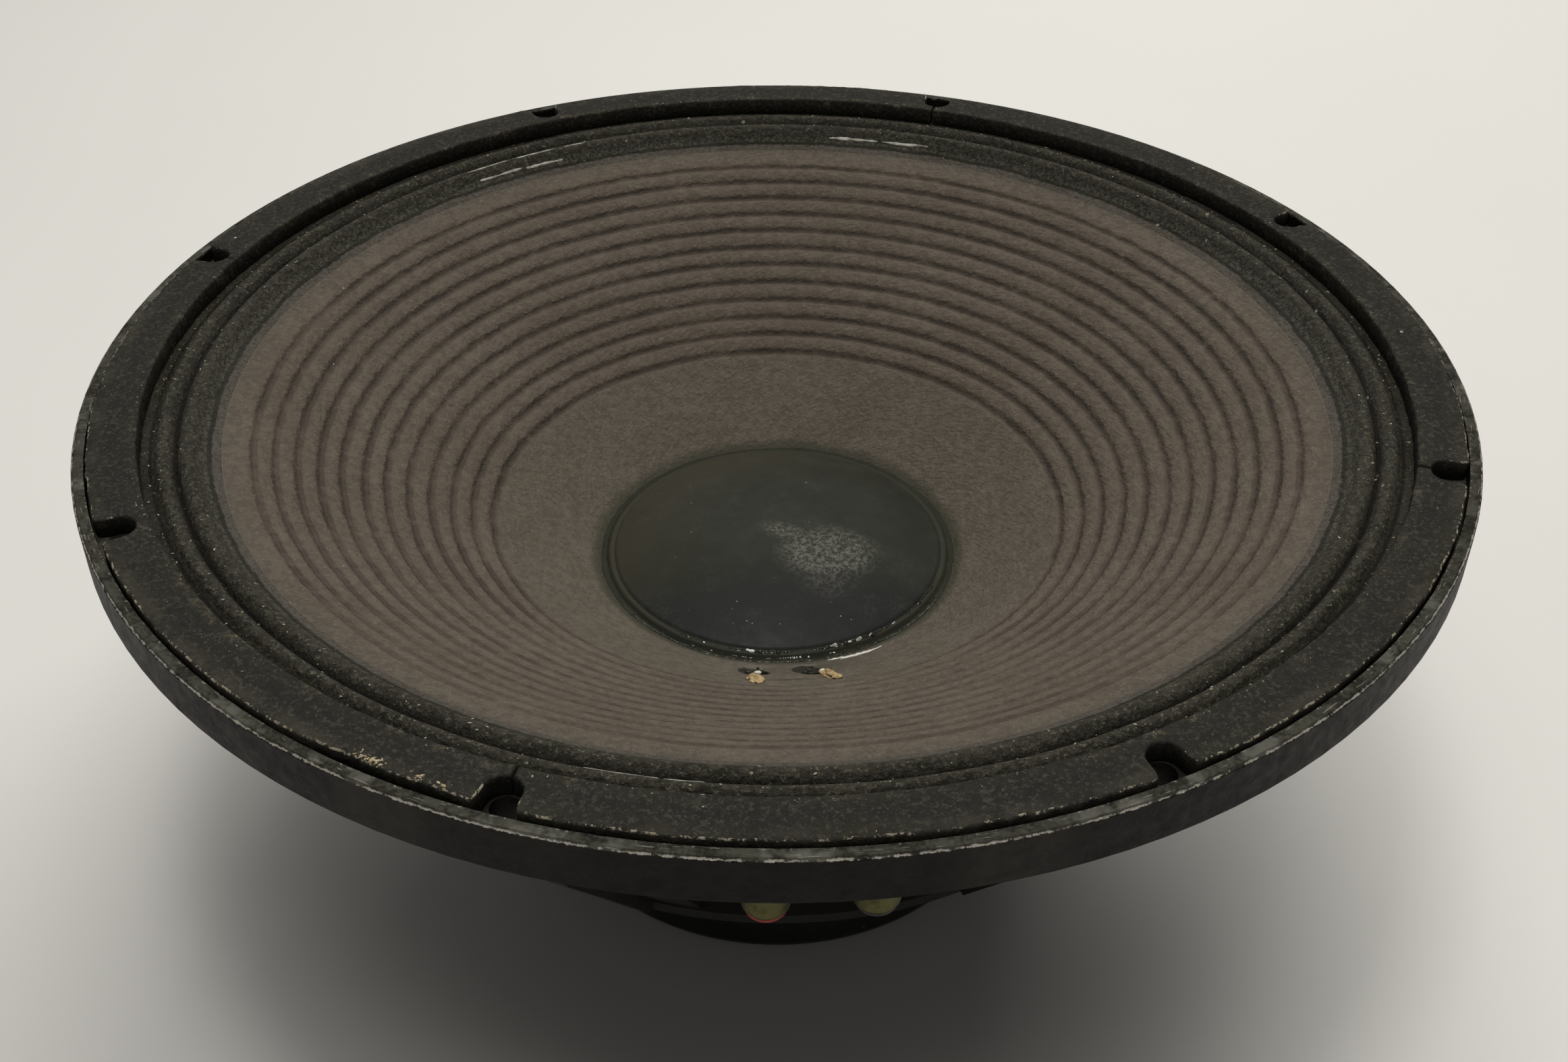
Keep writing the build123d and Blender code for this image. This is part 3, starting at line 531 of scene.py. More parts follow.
def mat_spider():
    k = Mat("spider_cloth", rough=0.8, spec=0.3)
    x, y, z, r, a = k.polar()
    w = k.mul(k.math("SINE", k.mul(x, TAU / 0.9)), k.math("SINE", k.mul(y, TAU / 0.9)))
    n = k.noise(260, 4, 0.65)
    c = k.mix(k.step(n, 0.3, 0.7), (0.30, 0.165, 0.055), (0.40, 0.245, 0.095))
    c = k.mix(k.step(w, -0.2, -0.9, 0.0, 0.55), c, (0.12, 0.062, 0.022))
    k.color(c)
    k.bump(k.add(k.mul(w, 0.6), n), 0.6, 0.0003)
    return k.m


def mat_tinsel():
    k = Mat("tinsel_braid", rough=0.4, metallic=0.85)
    u = k.t.nodes.new("ShaderNodeUVMap")
    s = k.t.nodes.new("ShaderNodeSeparateXYZ")
    k.t.links.new(u.outputs[0], s.inputs[0])
    along, round_ = s.outputs[0], s.outputs[1]
    a = k.math("SINE", k.mul(k.add(k.mul(along, 55.0), k.mul(round_, 3.0)), TAU))
    b = k.math("SINE", k.mul(k.sub(k.mul(along, 55.0), k.mul(round_, 3.0)), TAU))
    w = k.math("MAXIMUM", a, b)
    n = k.noise(600, 3, 0.6)
    c = k.mix(k.step(n, 0.3, 0.7), (0.52, 0.27, 0.13), (0.66, 0.42, 0.26))
    c = k.mix(k.step(w, 0.5, -0.2, 0.0, 0.8), c, (0.10, 0.06, 0.04))
    k.color(c)
    k.bump(w, 0.6, 0.0002)
    return k.m


def mat_floor():
    k = Mat("studio_floor", rough=0.85, spec=0.2)
    n = k.noise(3, 3, 0.5)
    k.color(k.mix(n, (0.49, 0.48, 0.46), (0.52, 0.51, 0.49)))
    k.bump(k.noise(900, 3, 0.6), 0.05, 0.0003)
    return k.m


# ------------------------------------------------------------------ mesh helpers
def obj_from(name, verts, faces, mats, sharp=40.0, attrs=None, uvs=None):
    me = bpy.data.meshes.new(name)
    me.from_pydata([tuple(v) for v in verts], [], faces)
    me.validate()
    bm = bmesh.new(); bm.from_mesh(me)
    bmesh.ops.recalc_face_normals(bm, faces=bm.faces)
    bm.to_mesh(me); bm.free()
    me.polygons.foreach_set("use_smooth", [True] * len(me.polygons))
    if sharp:
        me.set_sharp_from_angle(angle=math.radians(sharp))
    for m in mats if isinstance(mats, (list, tuple)) else [mats]:
        me.materials.append(m)
    for key, vals in (attrs or {}).items():
        at = me.attributes.new(key, "FLOAT", "POINT")
        at.data.foreach_set("value", np.asarray(vals, np.float32))
    o = bpy.data.objects.new(name, me)
    bpy.context.scene.collection.objects.link(o)
    return o


def lathe(name, loop, segs, mats, wobble=None, start=0.0, arc=TAU, sharp=40.0, attrs=None, mat_of=None):
    """A closed outline of (r, z) in mm turned about Z. wobble(P) returns moved points, in mm. attrs maps a name to one value per outline point."""
    loop = np.asarray(loop, float)
    n = len(loop)
    full = abs(arc - TAU) < 1e-9
    m = segs if full else segs + 1
    th = start + arc * np.arange(m) / segs
    P = np.empty((m, n, 3))
    P[:, :, 0] = loop[None, :, 0] * np.cos(th)[:, None]
    P[:, :, 1] = loop[None, :, 0] * np.sin(th)[:, None]
    P[:, :, 2] = loop[None, :, 1]
    P = P.reshape(-1, 3)
    if wobble is not None:
        P = wobble(P, np.repeat(th, n), np.tile(np.arange(n), m))
    faces = []
    for j in range(segs):
        a, b = j * n, ((j + 1) % m) * n
        for i in range(n):
            i2 = (i + 1) % n
            faces.append((a + i, b + i, b + i2, a + i2))
    if not full:
        faces.append(tuple(range(n - 1, -1, -1)))
        faces.append(tuple((m - 1) * n + i for i in range(n)))
    at = {k: np.tile(np.asarray(v, float), m) for k, v in (attrs or {}).items()}
    o = obj_from(name, P * MM, faces, mats, sharp, at)
    if mat_of is not None:
        idx = [mat_of(i) for i in range(n)] * segs
        for p, v in zip(o.data.polygons, idx):
            p.material_index = v
    return o


def smooth_line(pts, step):
    """Points every `step` mm along a Catmull-Rom curve through pts."""
    pts = np.asarray(pts, float)
    out = [pts[0]]
    for i in range(len(pts) - 1):
        p0, p1, p2 = pts[max(0, i - 1)], pts[i], pts[i + 1]
        p3 = pts[min(len(pts) - 1, i + 2)]
        d = np.linalg.norm(p2 - p1)
        c = max(1, int(round(d / step)))
        for q in range(1, c + 1):
            t = q / c
            out.append(0.5 * ((2 * p1) + (-p0 + p2) * t + (2 * p0 - 5 * p1 + 4 * p2 - p3) * t * t + (-p0 + 3 * p1 - 3 * p2 + p3) * t ** 3))
    return np.array(out)


def offset_line(pts, d):
    """pts moved by d mm to the side that faces down."""
    t = np.gradient(pts, axis=0)
    t /= np.linalg.norm(t, axis=1)[:, None]
    nrm = np.stack([-t[:, 1], t[:, 0]], 1)
    nrm[nrm[:, 1] > 0] *= -1
    return pts + nrm * d


def field(P, scale, seed=0.0):
    """Smooth noise at each point, about -1 to 1. scale is in mm."""
    return np.array([mn.noise(Vector((p[0] / scale + seed, p[1] / scale - seed, p[2] / scale + 2 * seed))) for p in P])


def ring_field(th, waves, seed):
    rnd = random.Random(seed)
    v = np.zeros_like(th)
    for w in waves:
        v += rnd.uniform(0.5, 1.0) * np.sin(w * th + rnd.uniform(0, TAU))
    return v / max(1, len(waves))


def set_blend(o):
    """Bakes the piece's transform into its mesh."""
    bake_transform(o)


def radii(o):
    co = np.empty(len(o.data.vertices) * 3)
    o.data.vertices.foreach_get("co", co)
    co = co.reshape(-1, 3) * 1000
    return np.hypot(co[:, 0], co[:, 1]), co


# ------------------------------------------------------------------ camera
R = 194.5
CAM_D, CAM_H = 2.3211 * R, 1.4211 * R
yaw, pitch, roll = (math.radians(v) for v in (0.252, 36.875, 0.316))
fwd = Vector((math.sin(yaw) * math.cos(pitch), math.cos(yaw) * math.cos(pitch), -math.sin(pitch)))
right = Vector((math.cos(yaw), -math.sin(yaw), 0))
up = right.cross(fwd)
right2 = math.cos(roll) * right + math.sin(roll) * up
up2 = -math.sin(roll) * right + math.cos(roll) * up
turn = Matrix.Rotation(math.radians(-4.37), 3, "Z")
loc = turn @ Vector((0, -CAM_D, CAM_H)) * MM + Vector((0, 0, FZ * MM))
cd = bpy.data.cameras.new("camera")
cd.lens, cd.sensor_width, cd.sensor_fit = 42.02, 36.0, "HORIZONTAL"
cd.clip_start, cd.clip_end = 0.02, 50
cam = bpy.data.objects.new("camera", cd)
rot = Matrix((turn @ right2, turn @ up2, -(turn @ fwd))).transposed()
cam.matrix_world = Matrix.Translation(loc) @ rot.to_4x4()
bpy.context.scene.collection.objects.link(cam)
bpy.context.scene.camera = cam

# ------------------------------------------------------------------ cone
RIBS = [85.5, 91.3, 96.9, 102.8, 108.8, 114.9, 120.5, 126.5, 132.2, 137.9, 143.6, 148.9]


def cone_z(r):
    r = np.asarray(r, float)
    return np.where(r <= 148.9, Z(11.8 + 0.6007 * (148.9 - r)), Z(11.8 - 0.36 * (r - 148.9)))


EYES = [(-99.3, 65.0), (-85.6, 65.0)]


def rib_shape(r):
    """Height added to the plain cone: narrow grooves between broad, rounded crests."""
    h = np.zeros_like(r)
    for c in RIBS:
        h -= 0.46 * np.exp(-((r - c) / 1.05) ** 2)
    for a, b in zip(RIBS[:-1], RIBS[1:]):
        t = np.clip((r - a) / (b - a), 0, 1)
        h += np.where((r > a) & (r < b), 0.40 * np.sin(np.pi * t) ** 0.7, 0)
    t = np.clip((r - RIBS[-1]) / 7.0, 0, 1)
    h += np.where(r > RIBS[-1], 0.30 * np.sin(np.pi * t), 0)
    return h


def build_cone():
    rs = [51.4]
    while rs[-1] < 156.6:
        near = min(abs(rs[-1] + 0.3 - c) for c in RIBS)
        rs.append(rs[-1] + (0.36 if near < 1.3 else 0.95))
    rs = np.array(rs)
    front = np.stack([rs, cone_z(rs) + rib_shape(rs)], 1)
    tail = np.array([[156.9, Z(8.25 + 0.6) - 0.1], [158.8, Z(7.8 + 0.6) - 0.1], [160.5, Z(7.3 + 0.6) - 0.1], [160.6, Z(7.3 + 0.6) - 0.5], [160.5, Z(7.3 + 0.6) - 0.9]])
    rb = np.concatenate([np.arange(156.6, 150.0, -1.6), np.arange(150.0, 84.0, -1.44), np.arange(83.5, 51.0, -2.6), [51.4]])
    back = np.stack([rb, cone_z(rb) + np.minimum(rib_shape(rb), 0) - 1.05], 1)
    loop = np.concatenate([front, tail, back])
    # Rib count at each radius: whole numbers fall on the grooves.
    ext = [RIBS[0] - 5.8] + RIBS + [RIBS[-1] + 5.8]
    phase = np.interp(loop[:, 0], ext, np.arange(-1, len(RIBS) + 1))
    nf = len(front)

    def wobble(P, th, i):
        r = np.hypot(P[:, 0], P[:, 1])
        # The paper is very slightly uneven all over, and more so between the ribs and the neck.
        keep = np.clip((156 - r) / 4, 0, 1) * np.clip((r - 51) / 3, 0, 1)
        P[:, 2] += keep * (0.10 * ring_field(th, [2, 3, 5, 9], 3) + 0.07 * ring_field(th + r * 0.011, [17, 23, 31], 4))
        # Where the leads come through, the paper is dimpled and lipped.
        for ang, er in EYES:
            t = math.radians(ang)
            ux, uy = math.cos(t), math.sin(t)
            dr = P[:, 0] * ux + P[:, 1] * uy - er
            dt = -P[:, 0] * uy + P[:, 1] * ux
            d2 = ((dr - 1.8) / 4.8) ** 2 + (dt / 4.2) ** 2
            P[:, 2] -= 1.15 * np.exp(-d2 ** 2 * 0.9)
            P[:, 2] += 0.50 * np.exp(-((np.sqrt(d2) - 1.22) / 0.24) ** 2) * np.clip(0.9 - dr / 9, 0.15, 1.3)
        # A low ridge joins the two.
        tm = math.radians(-92.5)
        dr = P[:, 0] * math.cos(tm) + P[:, 1] * math.sin(tm) - 72.5
        dt = -P[:, 0] * math.sin(tm) + P[:, 1] * math.cos(tm)
        P[:, 2] += 0.40 * np.exp(-(dr / 1.2) ** 2 - ((dt + 3.5) / 9.0) ** 4)
        return P

    paper, back_m = mat_paper(), mat_paper_back()
    o = lathe("paper_cone", loop, 448, [paper, back_m], wobble, attrs={"phase": phase}, sharp=50,
              mat_of=lambda i: 0 if i < nf - 1 else 1)
    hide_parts("cone"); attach(o, "diaphragm")
    return o


build_cone()

# ------------------------------------------------------------------ surround
S_TOP = [(180.4, 4.25), (177.0, 4.25), (174.6, 4.2), (173.7, 3.6), (172.8, 2.6), (171.6, 2.15), (170.5, 2.5), (169.6, 3.5), (168.8, 4.95), (168.35, 5.6),
         (167.8, 4.9), (166.9, 3.7), (165.6, 2.95), (164.2, 3.15), (163.1, 4.1), (162.2, 5.6), (161.5, 6.6), (160.4, 7.3), (158.8, 8.05), (157.6, 8.62), (157.0, 8.90)]


def build_surround():
    top = smooth_line([(r, Z(d)) for r, d in S_TOP], 0.42)
    bot = offset_line(smooth_line([(r, Z(d)) for r, d in S_TOP], 0.8), 0.55)
    bot[0] = (180.4, Z(4.8)); bot[-1] = (157.0, Z(8.9))
    loop = np.concatenate([top, bot[::-1]])
    # Crest mask: high where the roll stands up.
    base = np.interp(top[:, 0], [157, 161, 168.4, 174.5, 181], [Z(8.3), Z(7.2), Z(5.6), Z(4.4), Z(4.4)])
    cr = np.clip((top[:, 1] - base - 0.5) / 2.0, 0, 1)
    crest = np.concatenate([cr, np.zeros(len(bot))])
    r = loop[:, 0]
    # Where the creases are painted dark, as painted shade.
    crease_shade = np.exp(-((r - 168.35) / 0.8) ** 2) + np.exp(-((r - 174.9) / 0.7) ** 2) + 0.45 * np.exp(-((r - 161.8) / 0.7) ** 2)

    def wobble(P, th, i):
        r = np.hypot(P[:, 0], P[:, 1])
        keep = np.clip((176 - r) / 2, 0, 1) * np.clip((r - 158.5) / 2, 0, 1)
        P[:, 2] += keep * (0.13 * ring_field(th, [2, 3, 4, 7], 8) + 0.08 * ring_field(th - r * 0.02, [29, 41, 53, 67], 9))
        s = 1 + keep * 0.0009 * ring_field(th, [13, 19, 27], 10)
        P[:, 0] *= s; P[:, 1] *= s
        return P

    o = lathe("surround_roll", loop, 512, mat_surround(), wobble, attrs={"crest": crest, "crease_shade": crease_shade}, sharp=60)
    r, co = radii(o)
    set_blend(o)
    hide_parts("surround")
    return o


surround_o = build_surround()


def lands_on(*objs):
    """Height, in millimetres, at which a point let fall at (x, y) meets the pieces."""
    trees = [BVHTree.FromPolygons([v.co for v in o.data.vertices], [tuple(p.vertices) for p in o.data.polygons]) for o in objs]

    def z(x, y, other):
        best = None
        for t in trees:
            hit = t.ray_cast(Vector((x * MM, y * MM, 0.4)), Vector((0, 0, -1)))
            if hit[0] is not None and (best is None or hit[0].z > best):
                best = hit[0].z
        return other if best is None else best / MM
    return z


on_surround = lands_on(surround_o)


def glint_thread_run(name, a0, a1, r0, width, seed):
    """A thin thread of wet dope along the surround's outer roll, coloured pale as a painted highlight."""
    segs = int(abs(a1 - a0) / 0.12)
    th = np.radians(np.linspace(a0, a1, segs))
    t = np.linspace(0, 1, segs)
    broken = np.clip(0.72 + 0.9 * ring_field(th, [73, 131, 211], seed + 5), 0.16, 1.0)
    w = width * broken * (np.clip(np.sin(np.pi * t), 0, 1) ** 0.35) * (1 + 0.6 * ring_field(th, [91, 157, 233], seed)) + 0.08
    c = r0 + 0.12 * ring_field(th, [31, 57, 97], seed + 2)
    tr, tz = np.array([q[0] for q in S_TOP])[::-1], np.array([Z(q[1]) for q in S_TOP])[::-1]
    prof = [(-1, -0.25), (-0.6, 0.10), (0, 0.16), (0.6, 0.10), (1, -0.25)]
    n = len(prof)
    verts, faces = [], []
    for j in range(segs):
        for u, v in prof:
            r = c[j] + u * w[j] / 2
            px, py = r * math.cos(th[j]), r * math.sin(th[j])
            z = on_surround(px, py, float(np.interp(r, tr, tz))) + v + 0.06
            verts.append((r * math.cos(th[j]) * MM, r * math.sin(th[j]) * MM, z * MM))
    for j in range(segs - 1):
        for i in range(n):
            faces.append((j * n + i, j * n + (i + 1) % n, (j + 1) * n + (i + 1) % n, (j + 1) * n + i))
    faces.append(tuple(range(n))); faces.append(tuple((segs - 1) * n + i for i in range(n))[::-1])
    o = obj_from(name, verts, faces, wet_glint_m, 80)
    r, co = radii(o)
    set_blend(o)
    return o


# Pale glossy threads: painted highlights where the wet dope catches the light.
wet_glint_m = mat_plain("dope_painted_glint", (0.20, 0.19, 0.16), (0.52, 0.50, 0.44), 0.12, 300, 0.3, 0.7)
for i, (a0, a1, r0, w) in enumerate([(-108.6, -103.0, 170.3, 0.55), (-102.6, -99.6, 170.3, 0.40), (66.4, 72.4, 162.0, 0.55), (73.0, 79.2, 162.0, 0.65), (113.6, 118.6, 161.9, 0.65), (119.2, 125.0, 162.0, 0.50), (110.4, 113.0, 164.9, 0.28), (114.2, 119.5, 164.8, 0.40), (120.6, 126.0, 164.8, 0.34)]):
    glint_thread_run(f"painted_glint_thread_{i}", a0, a1, r0, w, 140 + i)

# ------------------------------------------------------------------ dust cap and the adhesive round it
CAP_R, CAP_H = 53.4, 11.5
cap0 = float(cone_z(CAP_R))
RC = (CAP_R ** 2 + CAP_H ** 2) / (2 * CAP_H)


def build_cap():
    rs = np.concatenate([[0.4], np.arange(1.6, 49.0, 1.6), [49.3, 49.9]])
    zs = cap0 + 0.75 + np.sqrt(RC ** 2 - rs ** 2) - (RC - CAP_H)
    z1 = zs[-1]
    rim_z = float(cone_z(52.9))
    rim = np.array([[50.25, z1 - 0.45], [50.5, z1 - 0.75], [50.8, z1 - 0.72], [51.2, z1 - 0.52], [51.8, z1 - 0.60], [52.4, z1 - 0.95], [52.8, rim_z + 0.30], [53.1, rim_z + 0.16]])
    top = np.concatenate([np.stack([rs, zs], 1), rim])
    under = top[:-1] - [0, 0.6]
    loop = np.concatenate([top, under[::-1]])

    def wobble(P, th, i):
        r = np.hypot(P[:, 0], P[:, 1])
        P[:, 2] += np.clip((50 - r) / 8, 0, 1) * 0.16 * field(P, 24, 5.0) + np.clip((50 - r) / 8, 0, 1) * 0.03 * field(P, 7, 1.0)
        # The flange was pressed down by hand, so the groove wanders.
        g = np.clip((r - 49.5) / 0.8, 0, 1)
        P[:, 2] += g * 0.10 * ring_field(th, [5, 9, 14, 22, 37], 51)
        sc = 1 + g * 0.0026 * ring_field(th, [2, 3, 7, 11, 26], 52)
        P[:, 0] *= sc; P[:, 1] *= sc
        return P

    o = lathe("dome_cap", loop, 256, mat_cap(), wobble, sharp=60)
    # Close the two small holes on the axis.
    bm = bmesh.new(); bm.from_mesh(o.data)
    edges = [e for e in bm.edges if all(math.hypot(v.co.x, v.co.y) < 0.00042 for v in e.verts)]
    bmesh.ops.delete(bm, geom=[f for f in bm.faces if all(math.hypot(v.co.x, v.co.y) < 0.00042 for v in f.verts)], context="FACES_ONLY")
    ring = [e for e in edges if e.is_valid and e.is_boundary]
    bmesh.ops.holes_fill(bm, edges=ring, sides=400)
    bmesh.ops.recalc_face_normals(bm, faces=bm.faces)
    bm.to_mesh(o.data); bm.free()
    o.data.polygons.foreach_set("use_smooth", [True] * len(o.data.polygons))
    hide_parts("dust_cap"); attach(o, "diaphragm")
    return o


cap_o = build_cap()
on_cap = lands_on(cap_o)


def bead_ring(name, segs, r0, width, height, z_of, seed, mat, squeeze=0.35):
    """A laid bead: width and height vary along it."""
    th = TAU * np.arange(segs) / segs
    w = width * (1 + squeeze * ring_field(th, [3, 5, 8, 13, 21, 34], seed))
    hh = height * (1 + squeeze * ring_field(th, [4, 7, 11, 18, 29, 47], seed + 1))
    c = r0 + 0.25 * ring_field(th, [2, 6, 15], seed + 2)
    prof = [(-1, -0.30), (-0.92, 0.22), (-0.62, 0.72), (-0.2, 0.98), (0.2, 0.98), (0.62, 0.66), (0.92, 0.20), (1.0, -0.30)]
    verts, faces = [], []
    k = len(prof)
    for j in range(segs):
        for u, v in prof:
            r = c[j] + u * w[j] / 2
            z = z_of(r) + (v * hh[j] if v > 0 else v * 0.6)
            verts.append((r * math.cos(th[j]) * MM, r * math.sin(th[j]) * MM, z * MM))
    for j in range(segs):
        a, b = j * k, ((j + 1) % segs) * k
        for i in range(k):
            faces.append((a + i, a + (i + 1) % k, b + (i + 1) % k, b + i))
    return obj_from(name, verts, faces, mat, 80)


bead_m = mat_bead()
def cap_side(r):
    """Height of the cap's flange and the paper beyond it."""
    return float(np.interp(r, [49.9, 50.5, 51.2, 52.4, 53.1, 54.0, 56.0], [cap0 + 1.9, cap0 + 1.35, cap0 + 1.35, cap0 + 0.9, cap0 + 0.05, float(cone_z(54.0)), float(cone_z(56.0))]))


bead = bead_ring("cap_bead", 480, 53.5, 2.0, 0.42, lambda r: cap_side(r), 21, bead_m)
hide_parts("dust_cap_bead"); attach(bead, "diaphragm")


def wet_run(name, a0, a1, r0, width, height, seed, mat=None):
    """A run of glossy adhesive in the cap's groove, thick and thin along its length."""
    segs = int(abs(a1 - a0) / 0.35)
    th = np.radians(np.linspace(a0, a1, segs))
    t = np.linspace(0, 1, segs)
    taper = np.clip(np.sin(np.pi * t), 0.0, 1) ** 0.4
    w = width * taper * (1 + 0.5 * ring_field(th, [31, 57, 90, 140], seed)) + 0.12
    hh = height * taper * (1 + 0.9 * ring_field(th, [44, 71, 113, 180], seed + 1)) + 0.02
    c = r0 + 0.35 * ring_field(th, [9, 23, 41], seed + 2)
    prof = [(-1, -0.5), (-0.85, 0.25), (-0.45, 0.85), (0.1, 1.0), (0.6, 0.7), (0.95, 0.15), (1.0, -0.5)]
    k = len(prof)
    verts, faces = [], []
    for j in range(segs):
        for u, v in prof:
            r = c[j] + u * w[j] / 2
            z = cap_side(r) + (v * hh[j] if v > 0 else -0.25)
            verts.append((r * math.cos(th[j]) * MM, r * math.sin(th[j]) * MM, z * MM))
    for j in range(segs - 1):
        for i in range(k):
            faces.append((j * k + i, j * k + (i + 1) % k, (j + 1) * k + (i + 1) % k, (j + 1) * k + i))
    faces.append(tuple(range(k))); faces.append(tuple((segs - 1) * k + i for i in range(k))[::-1])
    o = obj_from(name, verts, faces, mat or bead_m, 80)
    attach(o, "diaphragm")
    return o


wet_run("wet_adhesive_0", -112, -86, 51.2, 2.0, 0.75, 81)
wet_run("wet_adhesive_1", -86, -52, 51.0, 2.2, 0.85, 82)
wet_run("wet_adhesive_2", -50, -22, 50.9, 1.5, 0.55, 83)
wet_run("wet_adhesive_3", -134, -113, 51.2, 1.3, 0.5, 84)
smear_and_glint_m = mat_smear_and_glint()
# Drops and threads of clear adhesive set on top of it, coloured pale as painted glints.
for i, (a0, a1, r0, w, h) in enumerate([(-104.8, -100.9, 51.2, 1.1, 1.15), (-77.3, -74.0, 51.2, 0.8, 1.15), (-71.6, -69.1, 51.3, 0.8, 1.2), (-68.4, -65.4, 51.3, 1.0, 1.25),
                                        (-63.4, -61.2, 51.3, 0.8, 1.2), (-119.5, -117.8, 51.4, 0.6, 0.8), (-53.5, -51.5, 51.3, 0.5, 0.8)]):
    wet_run(f"painted_glint_drop_{i}", a0, a1, r0, w, h, 90 + i, smear_and_glint_m)

# ------------------------------------------------------------------ lead-outs, eyelets and dabs on the cone
def cone_point(ang, r, lift=0.0):
    t = math.radians(ang)
    return Vector((r * math.cos(t), r * math.sin(t), float(cone_z(r)) + lift))


def cone_frame(ang, r, lift=0.0):
    """A frame on the cone's face: x outward up the slope, y round the cone, z out of the paper. In millimetres."""
    t = math.radians(ang)
    out = Vector((math.cos(t), math.sin(t), 0.6007)).normalized()
    side = Vector((-math.sin(t), math.cos(t), 0))
    n = out.cross(side)
    m = Matrix((out, side, n)).transposed().to_4x4()
    return Matrix.Translation(cone_point(ang, r, lift)) @ m


def blob(name, place, rx, ry, rz, seed, mat, sink=0.25, lumps=0.25, us=40, vs=16):
    """A lumpy flattened drop, with its flat underside sunk a little into what it sits on."""
    verts, faces = [], []
    for j in range(vs + 1):
        ph = math.pi * j / vs
        for i in range(us):
            t = TAU * i / us
            d = Vector((math.sin(ph) * math.cos(t), math.sin(ph) * math.sin(t), math.cos(ph)))
            s = 1 + lumps * mn.noise(d * 1.6 + Vector((seed, seed * 2, 0))) + lumps * 0.5 * mn.noise(d * 4 + Vector((seed, 0, seed)))
            z = d.z * rz * s
            if z < 0:
                z *= sink
            verts.append(place @ Vector((d.x * rx * s, d.y * ry * s, z)) * MM)
    for j in range(vs):
        for i in range(us):
            a, b = j * us + i, j * us + (i + 1) % us
            faces.append((a, b, b + us, a + us))
    o = obj_from(name, verts, faces, mat, 0)
    bm = bmesh.new(); bm.from_mesh(o.data)
    bmesh.ops.remove_doubles(bm, verts=bm.verts, dist=1e-6)
    bmesh.ops.recalc_face_normals(bm, faces=bm.faces)
    bm.to_mesh(o.data); bm.free()
    return o


tan_m = mat_tan()
brass = mat_metal("eyelet_brass", (0.060, 0.045, 0.022), (0.13, 0.10, 0.055), 0.42, tarnish=0.6)
for i, (ang, er) in enumerate(EYES):
    # Dark adhesive lines the dimple, and a tan mound of it stands on the outer lip.
    goo = blob(f"eyelet_seal_{i}", cone_frame(ang, er + 1.6, -0.85), 3.6, 3.0, 0.75, 3.0 + i * 7, bead_m, 0.6, 0.5)
    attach(goo, "diaphragm")
    if i == 0:
        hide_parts("lead_eyelets")
    place = cone_frame(-98.7 if i == 0 else -83.3, 77.6 if i == 0 else 76.0, 0.0) @ Matrix.Rotation(0.05 if i == 0 else 0.12, 4, "Z")
    d = blob(f"tan_dab_{i}", place, 5.0 if i == 0 else 5.8, 2.3 if i == 0 else 1.8, 1.15, 12.0 + i * 4, tan_m, 0.7, 0.35 if i == 0 else 0.6, 72, 30)
    d2 = blob(f"tan_dab_small_{i}", cone_frame(-97.8 if i == 0 else -82.6, 80.5 if i == 0 else 79.5, 0.1), 2.2, 1.3, 0.95, 19.0 + i, tan_m, 0.7, 0.6, 40, 16)
    # The wire's tinned end in the adhesive, coloured pale as a painted glint.
    glint_tip = blob(f"painted_glint_tip_{i}", cone_frame(ang + (0.4 if i == 0 else 1.8), er + 3.6, -0.2), 0.9, 1.0, 0.6, 27.0 + i, smear_and_glint_m, 0.7, 0.3, 24, 10)
    for q in (d, d2, glint_tip):
        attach(q, "diaphragm")
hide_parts("eyelet_adhesive")


def streak(name, pts, w, h, seed, mat):
    """A smear of adhesive along points (angle, radius) on the cone."""
    line = smooth_line([cone_point(a, r) for a, r in pts], 0.35)
    n = len(line)
    rnd = random.Random(seed)
    ph = [rnd.uniform(0, TAU) for _ in range(4)]
    verts, faces = [], []
    prof = [(-1, -0.5), (-0.75, 0.5), (-0.3, 0.95), (0.3, 0.95), (0.75, 0.5), (1, -0.5)]
    for i in range(n):
        t = i / (n - 1)
        taper = max(0.12, math.sin(math.pi * min(1, max(0, t))) ** 0.5)
        ww = w * taper * (1 + 0.35 * math.sin(t * 19 + ph[0]) + 0.2 * math.sin(t * 41 + ph[1]))
        hh = h * taper * (1 + 0.3 * math.sin(t * 27 + ph[2]))
        p = Vector(line[i])
        out = Vector((p.x, p.y, 0)).normalized()
        slope = Vector((out.x, out.y, 0.6007)).normalized()
        tan = Vector(line[min(n - 1, i + 1)]) - Vector(line[max(0, i - 1)])
        nrm = slope.cross(Vector((-out.y, out.x, 0)))
        sd = nrm.cross(tan).normalized()
        for u, v in prof:
            verts.append((p + sd * (u * ww / 2) + nrm * (v * hh)) * MM)
    k = len(prof)
    for i in range(n - 1):
        for j in range(k):
            faces.append((i * k + j, i * k + (j + 1) % k, (i + 1) * k + (j + 1) % k, (i + 1) * k + j))
    faces.append(tuple(range(k))); faces.append(tuple((n - 1) * k + j for j in range(k))[::-1])
    return obj_from(name, verts, faces, mat, 0)


for i, (pts, w) in enumerate((([(-79.8, 57.2), (-76.0, 57.4), (-72.2, 58.6)], 0.85), ([(-76.5, 58.6), (-71.0, 58.9), (-66.5, 58.6), (-62.8, 57.8)], 0.75),
                              ([(-74.5, 57.6), (-70.0, 58.0), (-66.5, 57.7)], 0.5))):
    s = streak(f"adhesive_smear_{i}", pts, w, 0.32, 40 + i, smear_and_glint_m)
    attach(s, "diaphragm")

